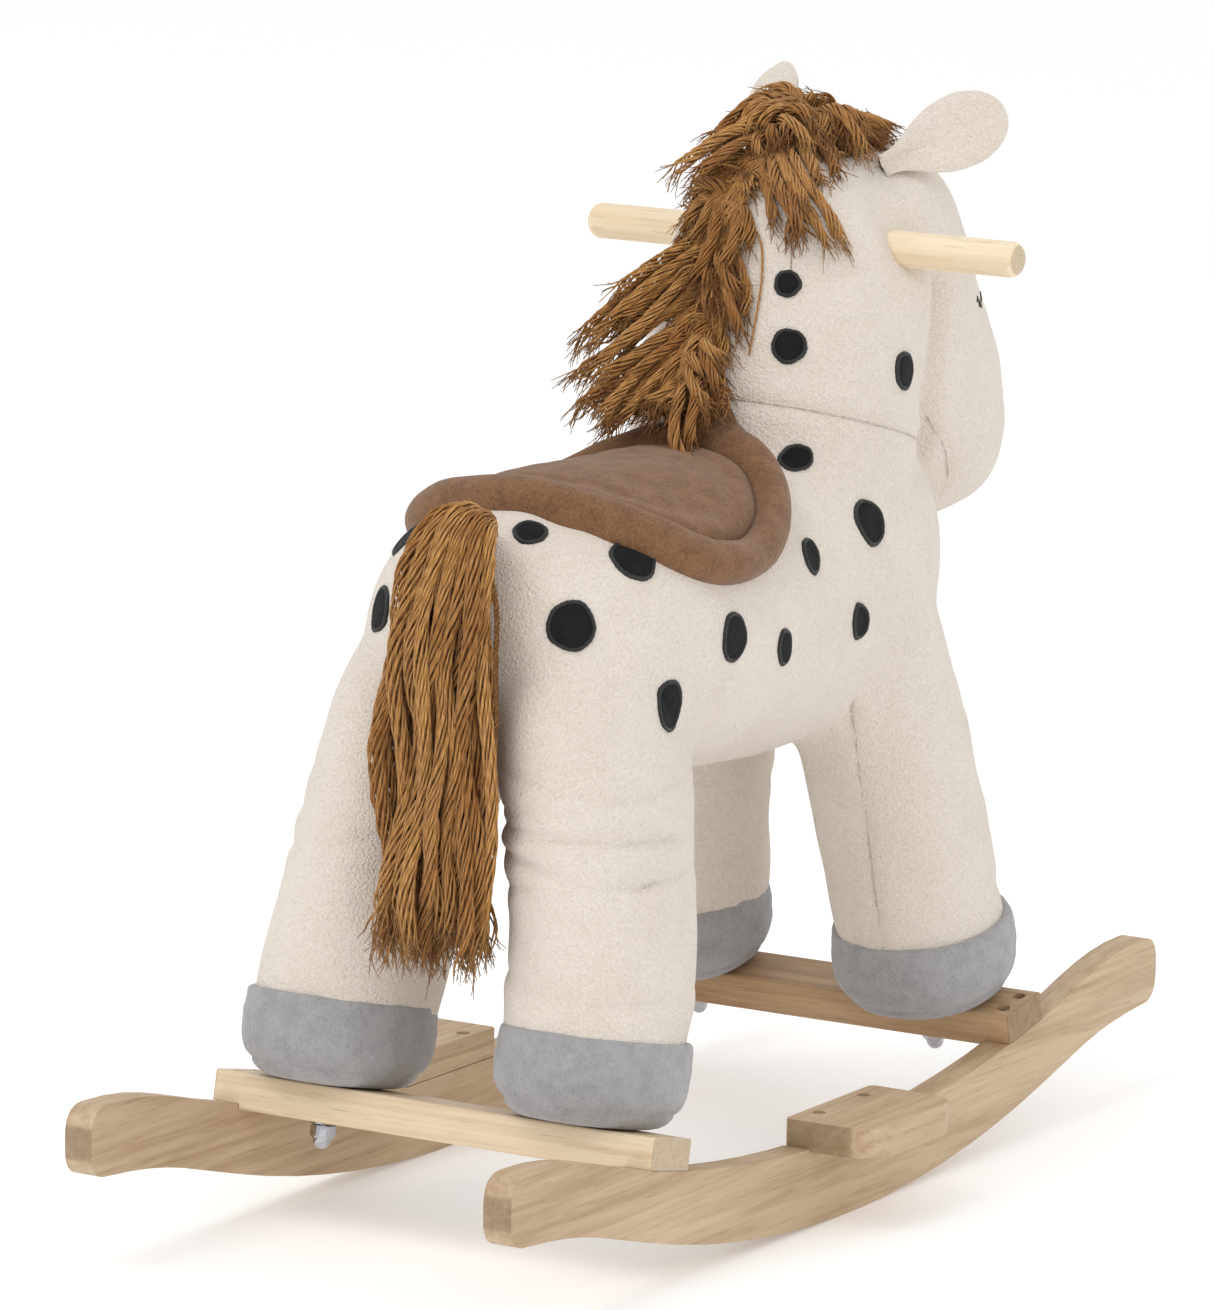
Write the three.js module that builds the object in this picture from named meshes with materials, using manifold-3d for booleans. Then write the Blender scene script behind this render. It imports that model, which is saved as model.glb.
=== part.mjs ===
// Plush rocking horse on a wooden rocker base, in millimetres.
// +Z is up, the horse faces -Y, its left side is +X, and the floor is z = 0 under its middle.
import * as THREE from "three";
import { mergeVertices } from "three/addons/utils/BufferGeometryUtils.js";
import Module from "manifold-3d";

const wasm = await Module();
wasm.setup();

// ---------------------------------------------------------------- driving dimensions
const GAP = 0.3; // between faces that touch
const HOLE_GAP = 0.35; // round a fastener in its hole

const base = {
  width: 300, // over the outer faces of the runners, and the length of a crossbar
  length: 776,
  board: 18, // thickness of the runners
};
const runner = {
  bottomRadius: 920, // of the rocking edge
  topRadius: 1085,
  depth: 47, // top to bottom at mid length
  arcHalf: 235, // half the stretch where both edges are arcs
  tipLow: 57, // lowest point of an upturned end
  tipHigh: 99, // highest point of an upturned end
  corner: 17, // rounding of an end's corners
  facets: 15, // of the rocking edge: an odd number, so that one lies flat on the floor at rest
  segments: 7, // straight pieces in each curve of the outline
};
const crossbar = {
  depth: 42,
  thickness: 22,
  rebate: 3.5, // cut from the underside over each runner
  ease: 2, // rounding of the long edges
  station: 215, // distance from mid length
  screwPitch: 20,
};
const footrest = {
  length: 104,
  width: 62,
  thickness: 18,
  outerCorner: 22,
  innerCorner: 4,
  screwPitch: 54,
  seatDepth: 0.6, // cut into the runner's top edge
};
const screw = { shank: 2.1, head: 4.1, headHeight: 2.6, length: 38, recess: 3 };
const bolt = { radius: 4, inPost: 34, intoNut: 7, spread: 85 }; // spread is from the middle
const washer = { radius: 9, thickness: 1.6 };
const capNut = { acrossFlats: 13, hexHeight: 8, domeHeight: 6.5, roof: 3 };
const post = { side: 26, inboard: 4, top: 244 }; // top is its height above the runners
const rail = { thickness: 18, height: 34 };
const seatBoard = { width: 110, thickness: 18, inset: 50, packing: 2 }; // packing is a felt's depth
const neckBoard = { thickness: 18, depth: 74, top: 229, cheek: 40 }; // cheek is the wood round the handle
const handle = { radius: 11, length: 301, behindChest: 76, height: 214, tip: 7 };
const trunk = {
  pastFront: 42, // its ends, measured past the crossbars
  pastRear: -1,
  overBoard: 27, // from the seat board's underside to the level that heights are given from
  power: 2.2,
};
const hoof = { top: 50, proud: 3 };
const haunch = { rise: 0.7, reach: 28 }; // a hind thigh reaches further forward
const legOverPost = 34; // how far a leg's stuffing runs above its post
const chin = { seam: 83, jaw: 19 }; // the panel under the lips: height above the deck, place
const ear = { length: 88, halfWidth: 26, halfThickness: 8, apart: 42, behindChest: 50, height: 252 };
const saddle = {
  middle: 53, // towards the rump from mid length
  halfLength: 117,
  halfArc: 118, // round the back, from the middle to the edge
  rim: 25,
  rimHeight: 16,
  padHeight: 11,
  taper: 0.14, // how much narrower it is in front
  squareness: 0.95,
};
const mane = { side: 12 }; // it falls a little to the left
const tail = { side: -5, clearance: 3 };
// How square the rings of a stuffed piece are (2 is an ellipse), and the points in each ring.
const squareness = { limb: 2.15, neck: 2.2, head: 2.3, yarn: 2.2 };
const ringPoints = { trunk: 24, limb: 18, neck: 24, ear: 16, saddle: 32, yarn: 18 };

// ---------------------------------------------------------------- materials
const material = (color, roughness, metalness = 0) =>
  new THREE.MeshStandardMaterial({ color, roughness, metalness });
const runnerWood = material(0xc9a983, 0.55);
const barWood = material(0xd8bd92, 0.55);
const handleWood = material(0xe8cf9c, 0.5);
const frameWood = material(0xcfae7e, 0.7);
const steel = material(0xd0d3d6, 0.25, 1);
const screwSteel = material(0x4a4640, 0.5, 1);
const fleece = material(0xe9e0d3, 0.95);
const hoofPlush = material(0xa9a9ac, 0.9);
const suede = material(0x7d5b41, 0.85);
const yarn = material(0x9a6a35, 0.9);

// ---------------------------------------------------------------- helpers
const { PI, sin, cos, tan, asin, sqrt, sign, abs, min, max } = Math;
const vec = (x, y, z) => new THREE.Vector3(x, y, z);
const place = (x, y, z) => new THREE.Matrix4().makeTranslation(x, y, z);
const turnX = (a) => new THREE.Matrix4().makeRotationX(a);
const along = (geometry, ...matrices) =>
  matrices.reduceRight((g, m) => g.applyMatrix4(m), geometry);

// Closed geometry as a manifold solid, for cutting and joining.
function solid(geometry) {
  const bare = geometry.clone();
  bare.deleteAttribute("normal");
  bare.deleteAttribute("uv");
  const merged = mergeVertices(bare, 1e-3);
  return new wasm.Manifold(
    new wasm.Mesh({
      numProp: 3,
      vertProperties: new Float32Array(merged.attributes.position.array),
      triVerts: new Uint32Array(merged.index.array),
    }),
  );
}

// A manifold solid as a geometry.
function geometryOf(made) {
  const mesh = made.getMesh();
  const geometry = new THREE.BufferGeometry();
  geometry.setAttribute("position", new THREE.BufferAttribute(mesh.vertProperties, 3));
  geometry.setIndex(new THREE.BufferAttribute(mesh.triVerts, 1));
  return geometry;
}

const cut = (geometry, ...tools) =>
  geometryOf(tools.reduce((s, t) => s.subtract(solid(t)), solid(geometry)));
const join = (first, ...others) =>
  geometryOf(others.reduce((s, t) => s.add(solid(t)), solid(first)));

const horse = new THREE.Group();
function add(name, geometry, look) {
  const mesh = new THREE.Mesh(geometry, look);
  mesh.name = name;
  horse.add(mesh);
}

const box = (x, y, z) => new THREE.BoxGeometry(x, y, z);

// A round piece about +Z from a profile of [radius, height] pairs that starts and ends on the axis.
const turned = (profile, sides = 12) =>
  new THREE.LatheGeometry(
    profile.map(([r, h]) => new THREE.Vector2(r, h)),
    sides,
  ).rotateX(PI / 2);

// A rounded rectangle, one corner radius for each corner, anticlockwise from the lower left.
function roundedRectangle(w, h, [a, b, c, d]) {
  const shape = new THREE.Shape();
  shape.absarc(-w / 2 + a, -h / 2 + a, a, PI, 1.5 * PI);
  shape.absarc(w / 2 - b, -h / 2 + b, b, 1.5 * PI, 2 * PI);
  shape.absarc(w / 2 - c, h / 2 - c, c, 0, PI / 2);
  shape.absarc(-w / 2 + d, h / 2 - d, d, PI / 2, PI);
  shape.closePath();
  return shape;
}

// Lays an outline drawn in the part's (y, z) on the middle plane, its thickness along +X.
const lengthwise = new THREE.Matrix4().makeBasis(vec(0, 1, 0), vec(0, 0, 1), vec(1, 0, 0));
const extruded = (shape, depth, curveSegments) =>
  new THREE.ExtrudeGeometry(shape, { depth, bevelEnabled: false, curveSegments });

// A skin over rings of equal length; a ring of one point is a pole. The rings climb along the
// direction in which their points run anticlockwise.
function skin(rings) {
  const points = [];
  const faces = [];
  const starts = rings.map((ring) => {
    const start = points.length;
    points.push(...ring);
    return start;
  });
  rings.slice(1).forEach((ring, i) => {
    const low = rings[i];
    const sides = max(low.length, ring.length);
    const below = (k) => starts[i] + (low.length === 1 ? 0 : k % sides);
    const above = (k) => starts[i + 1] + (ring.length === 1 ? 0 : k % sides);
    for (let k = 0; k < sides; k++) {
      if (low.length > 1) faces.push(below(k), below(k + 1), above(k));
      if (ring.length > 1) faces.push(below(k + 1), above(k + 1), above(k));
    }
  });
  const geometry = new THREE.BufferGeometry().setFromPoints(points);
  geometry.setIndex(faces);
  return geometry;
}

// A closed band through rings of equal length, the last joined to the first.
function closedSkin(rings) {
  const sides = rings[0].length;
  const faces = rings.flatMap((_, i) => {
    const [low, high] = [i * sides, ((i + 1) % rings.length) * sides];
    return rings[0].flatMap((_, k) => {
      const next = (k + 1) % sides;
      return [low + k, low + next, high + k, low + next, high + next, high + k];
    });
  });
  const geometry = new THREE.BufferGeometry().setFromPoints(rings.flat());
  geometry.setIndex(faces);
  return geometry;
}

// A ring shaped between an ellipse (power 2) and a rectangle (high power).
function ring(centre, across, upward, a, b, power, sides) {
  if (a <= 0) return [centre.clone()];
  const bulge = (c) => sign(c) * abs(c) ** (2 / power);
  return Array.from({ length: sides }, (_, k) => {
    const t = (2 * PI * k) / sides;
    return centre
      .clone()
      .addScaledVector(across, a * bulge(cos(t)))
      .addScaledVector(upward, b * bulge(sin(t)));
  });
}

// ---------------------------------------------------------------- runners
const tilt = asin(crossbar.station / runner.topRadius);
const runnerTop = (y) =>
  runner.depth + runner.topRadius - sqrt(runner.topRadius ** 2 - y ** 2);
const runnerMiddle = base.width / 2 - base.board / 2;

// The side outline: two long arcs, and at each end a double curve that levels out.
function runnerOutline() {
  const { bottomRadius: rb, topRadius: rt, depth, arcHalf, tipLow, tipHigh, corner } = runner;
  const tip = base.length / 2;
  const low = asin(arcHalf / rb);
  const high = asin(arcHalf / rt);
  const flare = tip - corner - arcHalf;
  const halfFacet = low / runner.facets;
  const lowEdge = rb - (rb / cos(halfFacet)) * cos(low);
  const highEdge = depth + rt - rt * cos(high);
  const shape = new THREE.Shape();
  shape.moveTo(-arcHalf, lowEdge);
  for (let k = 1; k <= runner.facets; k++) {
    const angle = 2 * halfFacet * k - low;
    const r = rb / cos(halfFacet); // so that each facet touches the arc at its middle
    shape.lineTo(r * sin(angle), rb - r * cos(angle));
  }
  shape.bezierCurveTo(
    arcHalf + 0.42 * flare, lowEdge + 0.42 * flare * tan(low),
    tip - corner - 0.45 * flare, tipLow - 4,
    tip - corner, tipLow,
  );
  shape.quadraticCurveTo(tip, tipLow, tip, tipLow + corner);
  shape.lineTo(tip, tipHigh - corner);
  shape.quadraticCurveTo(tip, tipHigh, tip - corner, tipHigh);
  shape.bezierCurveTo(
    tip - corner - 0.4 * flare, tipHigh,
    arcHalf + 0.4 * flare, highEdge + 0.4 * flare * tan(high),
    arcHalf, highEdge,
  );
  shape.absarc(0, depth + rt, rt, -PI / 2 + high, -PI / 2 - high, true);
  shape.bezierCurveTo(
    -arcHalf - 0.4 * flare, highEdge + 0.4 * flare * tan(high),
    -tip + corner + 0.4 * flare, tipHigh,
    -tip + corner, tipHigh,
  );
  shape.quadraticCurveTo(-tip, tipHigh, -tip, tipHigh - corner);
  shape.lineTo(-tip, tipLow + corner);
  shape.quadraticCurveTo(-tip, tipLow, -tip + corner, tipLow);
  shape.bezierCurveTo(
    -tip + corner + 0.45 * flare, tipLow - 4,
    -arcHalf - 0.42 * flare, lowEdge + 0.42 * flare * tan(low),
    -arcHalf, lowEdge,
  );
  return shape;
}

// From a crossbar's own frame to the part's: its origin is the middle of the seat on the runners,
// +Z is away from the runners. End is -1 at the front and 1 at the rear.
const seatFrame = (end) =>
  new THREE.Matrix4()
    .copy(place(0, end * crossbar.station, runnerTop(crossbar.station)))
    .multiply(turnX(end * tilt));

const barUnder = GAP; // height of a crossbar's rebated underside in the seat frame
const barTop = barUnder + crossbar.thickness - crossbar.rebate;
const ends = [["front", -1], ["rear", 1]];
const sides = [["right", -1], ["left", 1]];

// ---------------------------------------------------------------- screws
const screwProfile = (g) => [
  [0, -screw.length - g],
  [screw.shank * 0.4 + g, -screw.length - g],
  [screw.shank + g, -screw.length + 5],
  [screw.shank + g, -screw.headHeight],
  [screw.head + g, 0],
  [screw.head + g, 0.6 + (g ? screw.recess + 2 : 0)],
  [0, 0.6 + (g ? screw.recess + 2 : 0)],
];
const woodScrew = () =>
  cut(turned(screwProfile(0), 8), box(screw.head * 1.3, 1, 1.2).translate(0, 0, 0.6));
const screwHole = () => turned(screwProfile(HOLE_GAP), 8);
const screwHeadUnder = screw.recess + 0.6; // the head's rim lies this far under the wood

// Places of the screws: name, and the matrix from the screw's frame to the part's.
const screwPlaces = [];
for (const [endName, end] of ends)
  for (const [sideName, side] of sides)
    for (const [n, step] of [["outer", 1], ["inner", -1]])
      screwPlaces.push([
        `${endName}_${sideName}_crossbar_screw_${n}`,
        seatFrame(end).multiply(
          place(side * runnerMiddle, (end * step * crossbar.screwPitch) / 2, barTop - screwHeadUnder),
        ),
      ]);
const footrestTop = runner.depth - footrest.seatDepth + GAP + footrest.thickness;
for (const [sideName, side] of sides)
  for (const [n, end] of ends)
    screwPlaces.push([
      `${sideName}_footrest_screw_${n}`,
      place(side * runnerMiddle, (end * footrest.screwPitch) / 2, footrestTop - screwHeadUnder),
    ]);
const screwHoles = () => screwPlaces.map(([, m]) => screwHole().applyMatrix4(m));

// ---------------------------------------------------------------- the wooden base
const seatCut = (end) =>
  box(base.width, crossbar.depth + 2 * GAP, 12)
    .translate(0, 0, 6)
    .applyMatrix4(seatFrame(end));
const footrestSeat = () =>
  box(base.width, footrest.length + 2 * GAP, 12).translate(
    0,
    0,
    runner.depth - footrest.seatDepth + 6,
  );

for (const [sideName, side] of sides) {
  const blank = extruded(runnerOutline(), base.board, runner.segments)
    .applyMatrix4(lengthwise)
    .translate(side * runnerMiddle - base.board / 2, 0, 0);
  add(
    `${sideName}_runner`,
    cut(blank, seatCut(-1), seatCut(1), footrestSeat(), ...screwHoles()),
    runnerWood,
  );
}

const boltFrame = (end, side) => seatFrame(end).multiply(place(side * bolt.spread, 0, 0));
const barBottom = barTop - crossbar.thickness; // between the runners
const boltHole = (low, high) =>
  turned([[0, low], [bolt.radius + HOLE_GAP, low], [bolt.radius + HOLE_GAP, high], [0, high]], 12);

for (const [endName, end] of ends) {
  const { depth, thickness, ease, rebate } = crossbar;
  const blank = extruded(roundedRectangle(depth, thickness, [ease, ease, ease, ease]), base.width, 3)
    .applyMatrix4(lengthwise)
    .translate(-base.width / 2, 0, barTop - thickness / 2);
  const rebates = sides.map(([, side]) =>
    box(base.board + GAP + 10, depth + 2, rebate + 5).translate(
      side * (base.width / 2 - base.board - GAP + (base.board + GAP + 10) / 2),
      0,
      barUnder - (rebate + 5) / 2,
    ),
  );
  const bores = sides.map(([, side]) =>
    boltHole(barBottom - 5, barTop + 5).translate(side * bolt.spread, 0, 0),
  );
  add(
    `${endName}_crossbar`,
    cut(
      cut(blank, ...rebates, ...bores).applyMatrix4(seatFrame(end)),
      ...screwHoles(),
    ),
    barWood,
  );
}

for (const [sideName, side] of sides) {
  const { length, width, thickness, outerCorner: o, innerCorner: i } = footrest;
  const corners = side > 0 ? [i, o, o, i] : [o, i, i, o];
  const inner = base.width / 2 - base.board;
  const block = extruded(roundedRectangle(width, length, corners), thickness, 6).translate(
    side * (inner + width / 2),
    0,
    footrestTop - thickness,
  );
  add(`${sideName}_footrest`, cut(block, ...screwHoles()), runnerWood);
}

for (const [name, m] of screwPlaces) add(name, woodScrew().applyMatrix4(m), screwSteel);

// ---------------------------------------------------------------- bolts, washers and cap nuts
const washerTop = barBottom - GAP;
const nutTop = washerTop - washer.thickness - GAP;
const boltLow = nutTop - bolt.intoNut;
const postFoot = barTop + 8; // the post's end stands inside the hoof
const boltHigh = postFoot + bolt.inPost;

function capNutSolid() {
  const { acrossFlats, hexHeight, domeHeight, roof } = capNut;
  const hexRadius = acrossFlats / 2 / cos(PI / 6);
  const hex = new THREE.CylinderGeometry(hexRadius, hexRadius, hexHeight, 6)
    .rotateX(PI / 2)
    .translate(0, 0, nutTop - hexHeight / 2);
  const domeRadius = acrossFlats / 2 - 0.6;
  const steps = 3;
  const dome = Array.from({ length: steps + 1 }, (_, k) => {
    const t = (PI / 2) * (k / steps);
    return [domeRadius * sin(t), nutTop - hexHeight - domeHeight * cos(t)];
  });
  const bore = boltHole(nutTop - hexHeight - domeHeight + roof, nutTop + 2);
  return cut(join(hex, turned([...dome, [domeRadius, nutTop - 1], [0, nutTop - 1]], 12)), bore);
}

for (const [endName, end] of ends)
  for (const [sideName, side] of sides) {
    const m = boltFrame(end, side);
    const rod = turned(
      [[0, boltLow], [bolt.radius, boltLow], [bolt.radius, boltHigh], [0, boltHigh]],
      12,
    );
    const ringHole = boltHole(washerTop - 5, washerTop + 5);
    const disc = turned(
      [
        [0, washerTop - washer.thickness],
        [washer.radius, washerTop - washer.thickness],
        [washer.radius, washerTop],
        [0, washerTop],
      ],
      12,
    );
    add(`${endName}_${sideName}_leg_bolt`, rod.applyMatrix4(m), steel);
    add(`${endName}_${sideName}_washer`, cut(disc, ringHole).applyMatrix4(m), steel);
    add(`${endName}_${sideName}_cap_nut`, capNutSolid().applyMatrix4(m), steel);
  }

// ---------------------------------------------------------------- the wooden skeleton
const onSeat = (height) => vec(0, 0, height).applyMatrix4(seatFrame(1)).z;
const boardUnder = onSeat(post.top) + seatBoard.packing + GAP;
const deck = boardUnder + trunk.overBoard; // the level that the stuffed parts' heights start from
const rumpEnd = crossbar.station + trunk.pastRear;
const chestEnd = -crossbar.station - trunk.pastFront;
const handleY = chestEnd + handle.behindChest;
const boardLength = 2 * (crossbar.station - seatBoard.inset);

// Each maker returns the piece grown by g on every side, so that the stuffing can be cut round it.
const postSolid = (end, side, g) =>
  box(post.side + 2 * g, post.side + 2 * g, post.top - postFoot + 2 * g)
    .translate(-side * post.inboard, 0, (post.top + postFoot) / 2)
    .applyMatrix4(boltFrame(end, side));
const railSolid = (end, g) =>
  box(2 * (bolt.spread - post.inboard) + post.side + 2 * g, rail.thickness + 2 * g, rail.height + 2 * g)
    .translate(0, -end * (post.side / 2 + rail.thickness / 2 + GAP), post.top - rail.height / 2)
    .applyMatrix4(seatFrame(end));
const seatBoardSolid = (g) =>
  box(seatBoard.width + 2 * g, boardLength + 2 * g, seatBoard.thickness + 2 * g).translate(
    0,
    0,
    boardUnder + seatBoard.thickness / 2,
  );
function neckBoardSolid(g) {
  const { thickness, depth, top, cheek } = neckBoard;
  const foot = boardUnder + seatBoard.thickness + GAP - g;
  const front = -boardLength / 2;
  const shape = new THREE.Shape();
  shape.moveTo(front - g, foot);
  shape.lineTo(front + depth + g, foot);
  shape.lineTo(handleY + depth / 2 + g, deck + handle.height - cheek);
  shape.lineTo(handleY + depth / 2 + g, deck + top + g);
  shape.lineTo(handleY - depth / 2 - g, deck + top + g);
  shape.lineTo(handleY - depth / 2 - g, deck + handle.height - cheek);
  shape.closePath();
  return extruded(shape, thickness + 2 * g, 1)
    .applyMatrix4(lengthwise)
    .translate(-thickness / 2 - g, 0, 0);
}
function handleSolid(g) {
  const { radius, length, tip, height } = handle;
  const r = radius + g;
  const half = length / 2 + g;
  const steps = 3;
  const end = Array.from({ length: steps + 1 }, (_, k) => {
    const t = (PI / 2) * (k / steps);
    return [r - tip + tip * sin(t), -half + tip - tip * cos(t)];
  });
  const otherEnd = end.map(([a, h]) => [a, -h]).reverse();
  return turned([[0, -half], ...end, ...otherEnd, [0, half]], 16)
    .rotateY(PI / 2)
    .translate(0, handleY, deck + height);
}

const boltHoles = (high) =>
  ends.flatMap(([, end]) =>
    sides.map(([, side]) => boltHole(boltLow, high).applyMatrix4(boltFrame(end, side))),
  );
// The room that the skeleton takes in the stuffing.
const frameRoom = () => [
  ...ends.flatMap(([, end]) => sides.map(([, side]) => postSolid(end, side, GAP))),
  ...ends.map(([, end]) => railSolid(end, GAP)),
  seatBoardSolid(GAP),
  neckBoardSolid(GAP),
  handleSolid(GAP),
  ...boltHoles(boltHigh),
];

for (const [endName, end] of ends) {
  for (const [sideName, side] of sides)
    add(
      `${endName}_${sideName}_leg_post`,
      cut(
        postSolid(end, side, 0),
        boltHole(barTop, boltHigh + GAP).applyMatrix4(boltFrame(end, side)),
      ),
      frameWood,
    );
  add(`${endName}_leg_rail`, railSolid(end, 0), frameWood);
}
add("seat_board", seatBoardSolid(0), frameWood);
add("neck_board", cut(neckBoardSolid(0), handleSolid(GAP)), frameWood);
add("handle_dowel", handleSolid(0), handleWood);

// ---------------------------------------------------------------- the stuffed body
// Heights here are above the deck, and places are measured from the chest or the rump.
const X = vec(1, 0, 0);
const Y = vec(0, 1, 0);
const Z = vec(0, 0, 1);

// Trunk: [share of the way from rump to chest, height of the middle, half width, half height].
const trunkStations = [
  [0.013, 15, 40, 40],
  [0.045, 13, 70, 62],
  [0.098, 11, 92, 77],
  [0.19, 11, 105, 87],
  [0.306, 9, 106, 89],
  [0.423, 6, 102, 91],
  [0.54, 5, 99, 94],
  [0.656, 8, 98, 98],
  [0.762, 13, 98, 100],
  [0.858, 17, 91, 95],
  [0.932, 17, 76, 80],
  [0.979, 15, 50, 52],
].map(([t, z, a, b]) => [rumpEnd + t * (chestEnd - rumpEnd), deck + z, a, b]);
const trunkSolid = (g) =>
  skin([
    [vec(0, rumpEnd + g, trunkStations[0][1])],
    ...trunkStations.map(([y, z, a, b]) =>
      ring(vec(0, y, z), X, Z, a + g, b + g, trunk.power, ringPoints.trunk),
    ),
    [vec(0, chestEnd - g, trunkStations.at(-1)[1])],
  ]);

// Legs, in the seat frame: [height or share, place across past the bolt, shift towards mid length,
// half width, half length]. A hoof's heights are above its sole, a leg's are shares of the way up.
const hoofStations = [
  [0, 2, 8, 27, 30],
  [7, 2, 8, 44, 47],
  [20, 2, 8, 51, 55],
  [35, 2, 8, 52, 57],
  [hoof.top, 2, 8, 51, 55],
];
const legStations = [
  [0, 2, 8, 53, 57],
  [0.175, -3, 7, 53, 58],
  [0.373, -10, 6, 53, 60],
  [0.57, -18, 3, 52, 62],
  [0.768, -26, 2, 48, 62],
  [0.912, -31, 4, 40, 50],
  [1, -33, 6, 26, 32],
];
const legTop = post.top + legOverPost;
function limbSolid(end, side, g, stations) {
  const frame = seatFrame(end);
  const rings = stations.map(([h, past, shift, a, b]) =>
    ring(
      vec(side * (bolt.spread + past), -end * shift, barTop + GAP + h),
      X, Y, a + g, b + g, squareness.limb, ringPoints.limb,
    ).map((p) => p.applyMatrix4(frame)),
  );
  const middle = (r) => [r.reduce((s, p) => s.add(p), vec(0, 0, 0)).divideScalar(r.length)];
  return skin([middle(rings[0]), ...rings, middle(rings.at(-1))]);
}
const hoofSolid = (end, side) => limbSolid(end, side, hoof.proud, hoofStations);
const legSolid = (end, side) =>
  limbSolid(
    end,
    side,
    0,
    legStations.map(([t, past, shift, a, b]) => {
      const reach = end > 0 ? haunch.reach * min(t / haunch.rise, 1) : 0;
      const foot = hoof.top + GAP;
      return [foot + t * (legTop - foot), past, shift + reach / 2, a, b + reach / 2];
    }),
  );

// Neck, climbing out of the trunk: [place behind the chest, height, half width, half depth].
const neckStations = [
  [119, 48, 60, 52],
  [116, 75, 84, 74],
  [112, 108, 86, 76],
  [105, 143, 82, 74],
  [97, 178, 77, 72],
  [89, 213, 73, 70],
  [83, 238, 60, 58],
];
// Head, from the poll to the chin, in the same way.
const headStations = [
  [73, 253, 34, 34],
  [70, 244, 54, 58],
  [62, 228, 67, 80],
  [50, 206, 74, 95],
  [29, 176, 75, 95],
  [5, 144, 73, 89],
  [-19, 112, 71, 82],
  [-44, 84, 67, 78],
  [-61, 63, 55, 62],
  [-68, 52, 33, 38],
];
// Rings square to a path beside the middle plane, which starts at a given place, closed by flat ends.
function pathSolid(stations, from, g, power, points, x = 0) {
  const centres = stations.map(([y, z]) => vec(x, from + y, deck + z));
  const last = centres.length - 1;
  const heading = (i) =>
    centres[min(i + 1, last)].clone().sub(centres[max(i - 1, 0)]).normalize();
  const rings = stations.map(([, , a, b], i) =>
    ring(centres[i], X, heading(i).cross(X).normalize(), a + g, b + g, power, points),
  );
  const lowPole = centres[0].clone().addScaledVector(heading(0), -g);
  const highPole = centres[last].clone().addScaledVector(heading(last), g);
  return skin([[lowPole], ...rings, [highPole]]);
}
const neckSolid = (g) => pathSolid(neckStations, chestEnd, g, squareness.neck, ringPoints.neck);
const headSolid = (g) => pathSolid(headStations, chestEnd, g, squareness.head, ringPoints.neck);

// Everything below the chin's seam and in front of the jaw.
const chinRoom = (g) =>
  box(300, 200, 200).translate(0, chestEnd + chin.jaw - 100 - g, deck + chin.seam - 100 - g);

add("body_cover", cut(trunkSolid(0), neckSolid(GAP), headSolid(GAP), ...frameRoom()), fleece);
add("neck_cover", cut(neckSolid(0), headSolid(GAP), ...frameRoom()), fleece);
add("head_cover", cut(headSolid(0), chinRoom(0), ...frameRoom()), fleece);
add("chin_panel", geometryOf(solid(headSolid(0)).intersect(solid(chinRoom(GAP)))), fleece);

// Everything below the sole of a hoof, which lies flat on the crossbar.
const underHoof = (end) =>
  box(400, 400, 40)
    .translate(0, 0, barTop + GAP - 20)
    .applyMatrix4(seatFrame(end));

for (const [endName, end] of ends)
  for (const [sideName, side] of sides) {
    add(
      `${endName}_${sideName}_leg_cover`,
      cut(legSolid(end, side), trunkSolid(GAP), ...frameRoom()),
      fleece,
    );
    add(
      `${endName}_${sideName}_hoof`,
      cut(hoofSolid(end, side), underHoof(end), ...frameRoom()),
      hoofPlush,
    );
  }

// ---------------------------------------------------------------- ears
// The left ear stands up and the right one flops to its side: where the tip points from the root.
const earReach = { right: vec(-40, -51, 33), left: vec(24, -51, 45) };
function earSolid(side, reach, g) {
  const root = vec(side * ear.apart, chestEnd + ear.behindChest, deck + ear.height);
  const forward = reach.clone().normalize();
  const outward = vec(side * 0.68, 0.61, 0.28);
  const across = forward.clone().cross(outward).normalize();
  const upward = forward.clone().cross(across).normalize();
  const steps = 8;
  const hidden = 0.12; // share of the length inside the head
  const rings = Array.from({ length: steps }, (_, k) => {
    const t = k / (steps - 1);
    const swell = sin(PI * (0.12 + 0.8 * t ** 0.85)) ** 0.7;
    const centre = root.clone().addScaledVector(forward, (t - hidden) * ear.length);
    const [a, b] = [ear.halfWidth * swell + g, ear.halfThickness * swell + g];
    return ring(centre, across, upward, a, b, 2, ringPoints.ear);
  });
  const low = root.clone().addScaledVector(forward, -1.2 * hidden * ear.length - g);
  const tip = root.clone().addScaledVector(forward, (1.04 - hidden) * ear.length + g);
  return skin([[low], ...rings, [tip]]);
}
for (const [sideName, side] of sides)
  add(
    `${sideName}_ear`,
    cut(earSolid(side, earReach[sideName], 0), headSolid(GAP), neckSolid(GAP)),
    fleece,
  );

// ---------------------------------------------------------------- saddle
// The saddle lies on the trunk: a point of it is a place along the horse and an arc length round
// the back, lifted square to the trunk.
function onTrunk(y, arc, lift) {
  const next = trunkStations.findIndex(([place]) => place <= y);
  const i = min(max(next, 1), trunkStations.length - 1);
  const [y0, z0, a0, b0] = trunkStations[i - 1];
  const [y1, z1, a1, b1] = trunkStations[i];
  const t = (y - y0) / (y1 - y0);
  const [z, a, b] = [z0 + (z1 - z0) * t, a0 + (a1 - a0) * t, b0 + (b1 - b0) * t];
  const angle = PI / 2 - arc / ((a + b) / 2);
  const bulge = (c) => sign(c) * abs(c) ** (2 / trunk.power);
  const normal = vec(cos(angle) / a, 0, sin(angle) / b).normalize();
  return vec(a * bulge(cos(angle)), y, z + b * bulge(sin(angle))).addScaledVector(normal, lift);
}
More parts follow.
